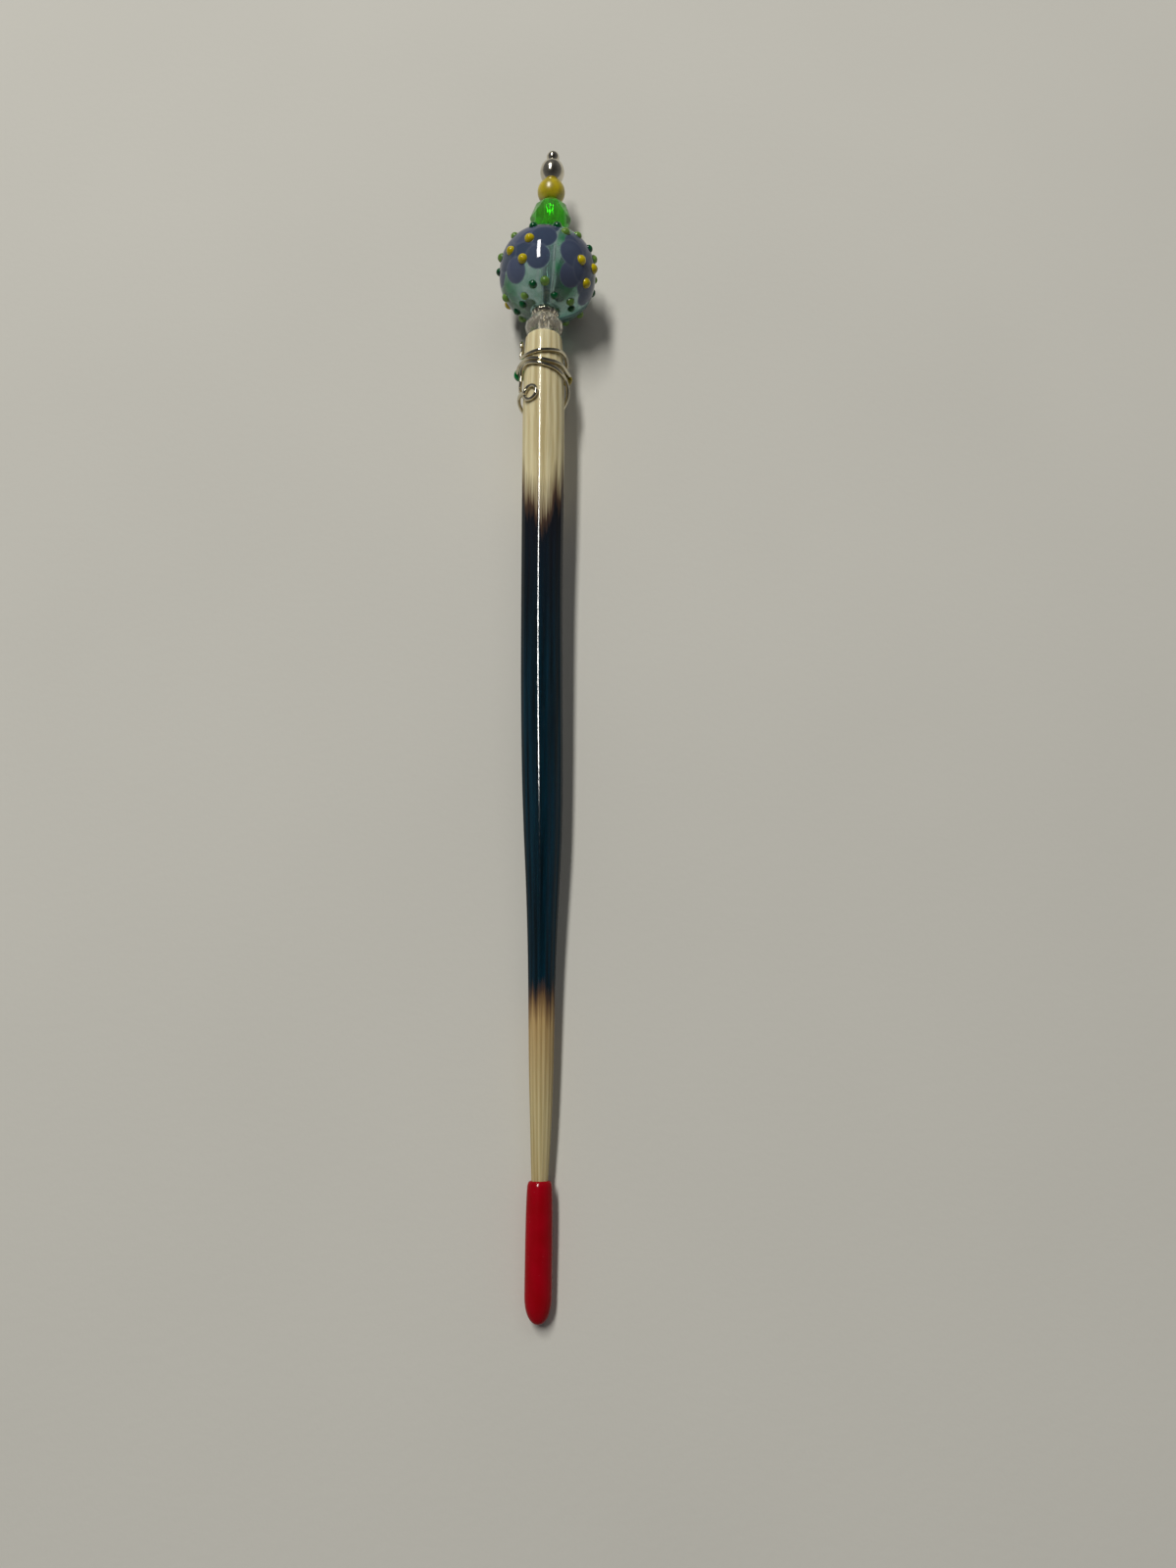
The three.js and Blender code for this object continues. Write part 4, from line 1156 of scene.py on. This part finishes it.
class HAIRSTICK_OT_lampwork(bpy.types.Operator):
    """Winds the big glass bead, with its flush petals and its raised dots"""

    bl_idname = "hairstick.lampwork"
    bl_label = "Wind the Big Bead"

    SIDES = 88
    ROWS = 40
    TONE_SEED = 3
    FAR = 10.0  # mm from the petals, for a start
    MOUTH_ROUND = 0.15 * MM
    DOT_SEGMENTS, DOT_RINGS = 20, 12
    DOT_WIDTH = 0.94  # the narrowest dot's, as a share of its length
    LEAST_YELLOW_DOT, LEAST_GREEN_DOT = 0.92, 0.82  # the smallest, as a share of the largest
    GREEN_DOT_CLEAR = 0.25

    def surface(self, angle, height):
        """A place on the bead and the direction straight out of it."""
        radius = LAMPWORK["radius"]
        reach = radius * superellipse(abs(height) / LAMPWORK_RISE)
        power = LAMPWORK_FULLNESS - 1
        steep = reach ** power / radius ** LAMPWORK_FULLNESS
        outward = around(angle, steep, math.copysign(
            abs(height) ** power / LAMPWORK_RISE ** LAMPWORK_FULLNESS, height))
        return around(angle, reach, height), outward.normalized()

    def around_flower(self, flower, direction, reach):
        """A place on the bead beside a flower's middle."""
        angle, height = flower
        turn = math.radians(direction)
        sideways = math.degrees(reach * MM * math.cos(turn) / LAMPWORK["radius"])
        return angle + sideways, height + reach * math.sin(turn)

    def on_surface(self, places):
        return [self.surface(angle, height * MM)[0] for angle, height, *_ in places]

    def petals(self):
        """Each petal's middle, radius and tone."""
        places = list(UPPER_PETALS)
        for flower in FLOWERS[2:]:
            places.append((*flower, PETAL_RADIUS))
            places += [
                (*self.around_flower(flower, 360 * (i + 0.25) / PETALS, PETAL_REACH), PETAL_RADIUS)
                for i in range(PETALS)
            ]
        chance = random.Random(self.TONE_SEED)
        return [
            (middle, place[2] * MM, chance.random())
            for middle, place in zip(self.on_surface(places), places)
        ]

    def line_distance(self, point, corners):
        """How far a point is from a line through corners."""
        nearest = 1.0
        for start, end in zip(corners, corners[1:]):
            run = end - start
            share = min(max((point - start).dot(run) / run.length_squared, 0), 1)
            nearest = min(nearest, (point - start - share * run).length)
        return nearest

    def paint(self, body, where):
        """Stores where the petals, the pale lines and the green patches are, by point, in mm."""
        inverse = where.inverted()
        petals = self.petals()
        lines = [self.on_surface(line) for line in (SEAM, STREAK)]
        patches = list(zip(self.on_surface(GREEN_PATCHES), GREEN_PATCHES))
        rows = []
        for vertex in body.data.vertices:
            point = inverse @ vertex.co
            outside, edge, tone = self.FAR, 0.0, 0.5
            for middle, radius, petal_tone in petals:
                distance = ((point - middle).length - radius) / MM
                cover = min(max(0.5 - distance / PETAL_SOFT, 0), 1)
                tone += (petal_tone - tone) * cover
                edge = edge * (1 - cover) + max(1 - abs(distance) / PETAL_SOFT, 0)
                outside = min(outside, distance)
            line = min(self.line_distance(point, corners) for corners in lines) / MM
            green = max(1 - (point - middle).length / MM / place[2] for middle, place in patches)
            rows.append((outside, edge, tone, line, max(green, 0.0) ** 0.7))
        for name, values in zip(PAINTED, zip(*rows)):
            attribute = body.data.attributes.new(name, "FLOAT", "POINT")
            attribute.data.foreach_set("value", values)

    def dots(self, name, places, radius, least, where):
        """Little balls of glass, pressed a little way into the bead."""
        chance = random.Random(len(places))
        bpy.ops.object.select_all(action="DESELECT")
        bpy.ops.mesh.primitive_uv_sphere_add(
            segments=self.DOT_SEGMENTS, ring_count=self.DOT_RINGS, radius=radius,
        )
        first = bpy.context.object
        made = []
        for angle, height in places:
            place, outward = self.surface(angle, height * MM)
            dot = first.copy()
            dot.data = first.data.copy()
            bpy.context.collection.objects.link(dot)
            turn = Vector((0, 0, 1)).rotation_difference(outward).to_matrix().to_4x4()
            size = chance.uniform(least, 1.0)
            squash = Matrix.Diagonal((size, size * chance.uniform(self.DOT_WIDTH, 1), size, 1))
            dot.matrix_world = (
                where @ Matrix.Translation(place - outward * DOT_SINK) @ turn @ squash
            )
            made.append(dot)
        bpy.data.objects.remove(first)
        take_up(*made)
        bpy.ops.object.join()
        joined = bpy.context.object
        joined.name = name
        bpy.ops.object.transform_apply()
        bpy.ops.object.shade_smooth()
        return joined

    def execute(self, context):
        beads = settings("beads")
        where = on_pin("lampwork", LAMPWORK_OFFSET)
        mouth_radius = BORE_RADIUS + self.MOUTH_ROUND
        mouth = LAMPWORK["length"] / 2 - LAMPWORK["dimple"]
        outline = bored([(mouth_radius, -mouth), *full_oval(self.ROWS), (mouth_radius, mouth)])
        body = lathe("lampwork_glass_bead", outline, self.SIDES, where)
        smoothed(body, 2)
        self.paint(body, where)
        dress(body, flower_glass(where), "lampwork_glass", "lampwork_bead")
        flower_dots = [
            self.around_flower(flower, direction, FLOWER_DOT_REACH)
            for flower in FLOWERS for direction in FLOWER_DOT_DIRECTIONS
        ]
        yellow_size = (beads.yellow_dot, self.LEAST_YELLOW_DOT)
        green_size = (beads.green_dot, self.LEAST_GREEN_DOT)
        for name, places, size, colour, deep, clear in (
            ("flower_yellow_dots", flower_dots, yellow_size, beads.yellow_glass,
             DEEP_YELLOW_DOT, 0.0),
            ("dark_green_dots", DARK_DOTS, green_size, beads.dark_green_glass,
             DEEP_DARK_GREEN_DOT, self.GREEN_DOT_CLEAR),
            ("light_green_dots", LIGHT_DOTS, green_size, beads.light_green_glass,
             DEEP_LIGHT_GREEN_DOT, self.GREEN_DOT_CLEAR),
        ):
            dots = self.dots(name, places, *size, where)
            glass = bead_glass(name.replace("_", " ") + " glass melted on", colour, linear(deep),
                               PIN, transmission=clear)
            dress(dots, glass, "lampwork_glass", "lampwork_bead")
        return {"FINISHED"}


class HAIRSTICK_OT_wire(bpy.types.Operator):
    """Winds the silver wire round the quill and threads its two seed beads"""

    bl_idname = "hairstick.wire"
    bl_label = "Wind the Wire"

    SEED_SIDES = 32
    SEED_ROWS = 12
    SEED_EDGE_DEG = 50

    def at(self, angle, along, lift):
        radius = quill_form(along * MM)[0] + WIRE_RADIUS + GAP + lift * MM
        return around(angle, radius, along * MM)

    def loop(self, angle, along, lift, radius, turns):
        """A flat open loop that lies against the quill."""
        centre = self.at(angle, along, lift)
        sideways = around(angle + 90, 1, 0)
        points = []
        for i in range(LOOP_POINTS):
            turn = math.radians(turns[0] + (turns[1] - turns[0]) * i / (LOOP_POINTS - 1))
            point = centre + sideways * radius * MM * math.cos(turn)
            point.y += radius * MM * math.sin(turn)
            points.append(point)
        return points

    def smooth_route(self, points):
        """A centripetal curve through the points, with WIRE_SAMPLES steps between two."""
        ends = [2 * points[0] - points[1], *points, 2 * points[-1] - points[-2]]
        route = []
        for i in range(len(points) - 1):
            p0, p1, p2, p3 = ends[i:i + 4]
            d0, d1, d2 = ((b - a).length ** 0.5 for a, b in ((p0, p1), (p1, p2), (p2, p3)))
            leave = ((p1 - p0) / d0 - (p2 - p0) / (d0 + d1) + (p2 - p1) / d1) * d1
            arrive = ((p2 - p1) / d1 - (p3 - p1) / (d1 + d2) + (p3 - p2) / d2) * d1
            route += [
                curve_at(k / WIRE_SAMPLES, p1, leave, p2, arrive) for k in range(WIRE_SAMPLES)
            ]
        return [*route, points[-1]]

    def seed(self, name, route, index, glass, slot, node):
        """A seed bead, centred on the wire with its bore along it."""
        reach = SEED_RADIUS - SEED_BORE_RADIUS
        outline = arc(reach, SEED_LENGTH / 2, -90, 90, self.SEED_ROWS, SEED_BORE_RADIUS)
        along = (route[index + 1] - route[index - 1]).normalized()
        turn = Vector((0, 1, 0)).rotation_difference(along).to_matrix().to_4x4()
        where = STICK @ Matrix.Translation(route[index]) @ turn
        piece = lathe(name, [*outline, outline[0]], self.SEED_SIDES, where)
        smoothed(piece, 1, self.SEED_EDGE_DEG)
        dress(piece, glass, slot, node)

    def execute(self, context):
        front = self.loop(**FRONT_LOOP)
        places = [
            *WIRE_TO_YELLOW_SEED, YELLOW_SEED_PLACE, *WIRE_TO_GREEN_SEED, GREEN_SEED_PLACE,
            *WIRE_TO_BACK_LOOP,
        ]
        points = [*front, *(self.at(*place) for place in places), *self.loop(**BACK_LOOP)]
        route = self.smooth_route(points)
        curve = bpy.data.curves.new("wire", "CURVE")
        curve.dimensions = "3D"
        curve.bevel_depth = WIRE_RADIUS
        curve.bevel_resolution = 4
        curve.use_fill_caps = True
        spline = curve.splines.new("POLY")
        spline.points.add(len(route) - 1)
        for point, place in zip(spline.points, route):
            point.co = (*(STICK @ place), 1)
        wire = bpy.data.objects.new("wound_silver_wire", curve)
        context.collection.objects.link(wire)
        take_up(wire)
        bpy.ops.object.convert(target="MESH")
        bpy.ops.object.shade_smooth()
        dress(context.object, silver("wire silver plated drawn", settings("metal").wire, 0.07),
              "wire", "wire_wrap")
        for name, seed_place, tones, slot, node in (
            ("green_glass_seed", GREEN_SEED_PLACE, (GREEN_SEED, DEEP_GREEN_SEED),
             "green_seed_glass", "green_seed_bead"),
            ("yellow_glass_seed", YELLOW_SEED_PLACE, (YELLOW_SEED, DEEP_YELLOW_SEED),
             "yellow_seed_glass", "yellow_seed_bead"),
        ):
            index = (len(front) + places.index(seed_place)) * WIRE_SAMPLES
            glass = bead_glass(name.replace("_", " ") + " drawn", *map(linear, tones), STICK,
                               transmission=0.2)
            self.seed(name, route, index, glass, slot, node)
        return {"FINISHED"}


class HAIRSTICK_PT_panel(bpy.types.Panel):
    """The stick's sizes, colours and pieces"""

    bl_label = "Hair Stick"
    bl_space_type = "VIEW_3D"
    bl_region_type = "UI"
    bl_category = "Hair Stick"

    def draw(self, context):
        layout = self.layout
        for group, kind in GROUPS.items():
            box = layout.box()
            box.label(text=group.title())
            for name in kind.__annotations__:
                box.prop(settings(group), name)
        for operator in OPERATORS:
            layout.operator(operator.bl_idname)


GROUPS = {
    "quill": QuillSettings,
    "cap": CapSettings,
    "beads": BeadSettings,
    "metal": MetalSettings,
    "stage": StageSettings,
}
OPERATORS = (
    HAIRSTICK_OT_stage, HAIRSTICK_OT_quill, HAIRSTICK_OT_cap, HAIRSTICK_OT_pin,
    HAIRSTICK_OT_cut_beads, HAIRSTICK_OT_spacer, HAIRSTICK_OT_round_beads,
    HAIRSTICK_OT_lampwork, HAIRSTICK_OT_wire,
)


def register():
    for kind in (*GROUPS.values(), *OPERATORS, HAIRSTICK_PT_panel):
        bpy.utils.register_class(kind)
    for group, kind in GROUPS.items():
        setattr(bpy.types.Scene, "hair_stick_" + group, bpy.props.PointerProperty(type=kind))


def unregister():
    for group in GROUPS:
        delattr(bpy.types.Scene, "hair_stick_" + group)
    for kind in reversed((*GROUPS.values(), *OPERATORS, HAIRSTICK_PT_panel)):
        bpy.utils.unregister_class(kind)


def main():
    register()
    for operator in OPERATORS:
        category, name = operator.bl_idname.split(".")
        getattr(getattr(bpy.ops, category), name)()


if __name__ == "__main__":
    main()
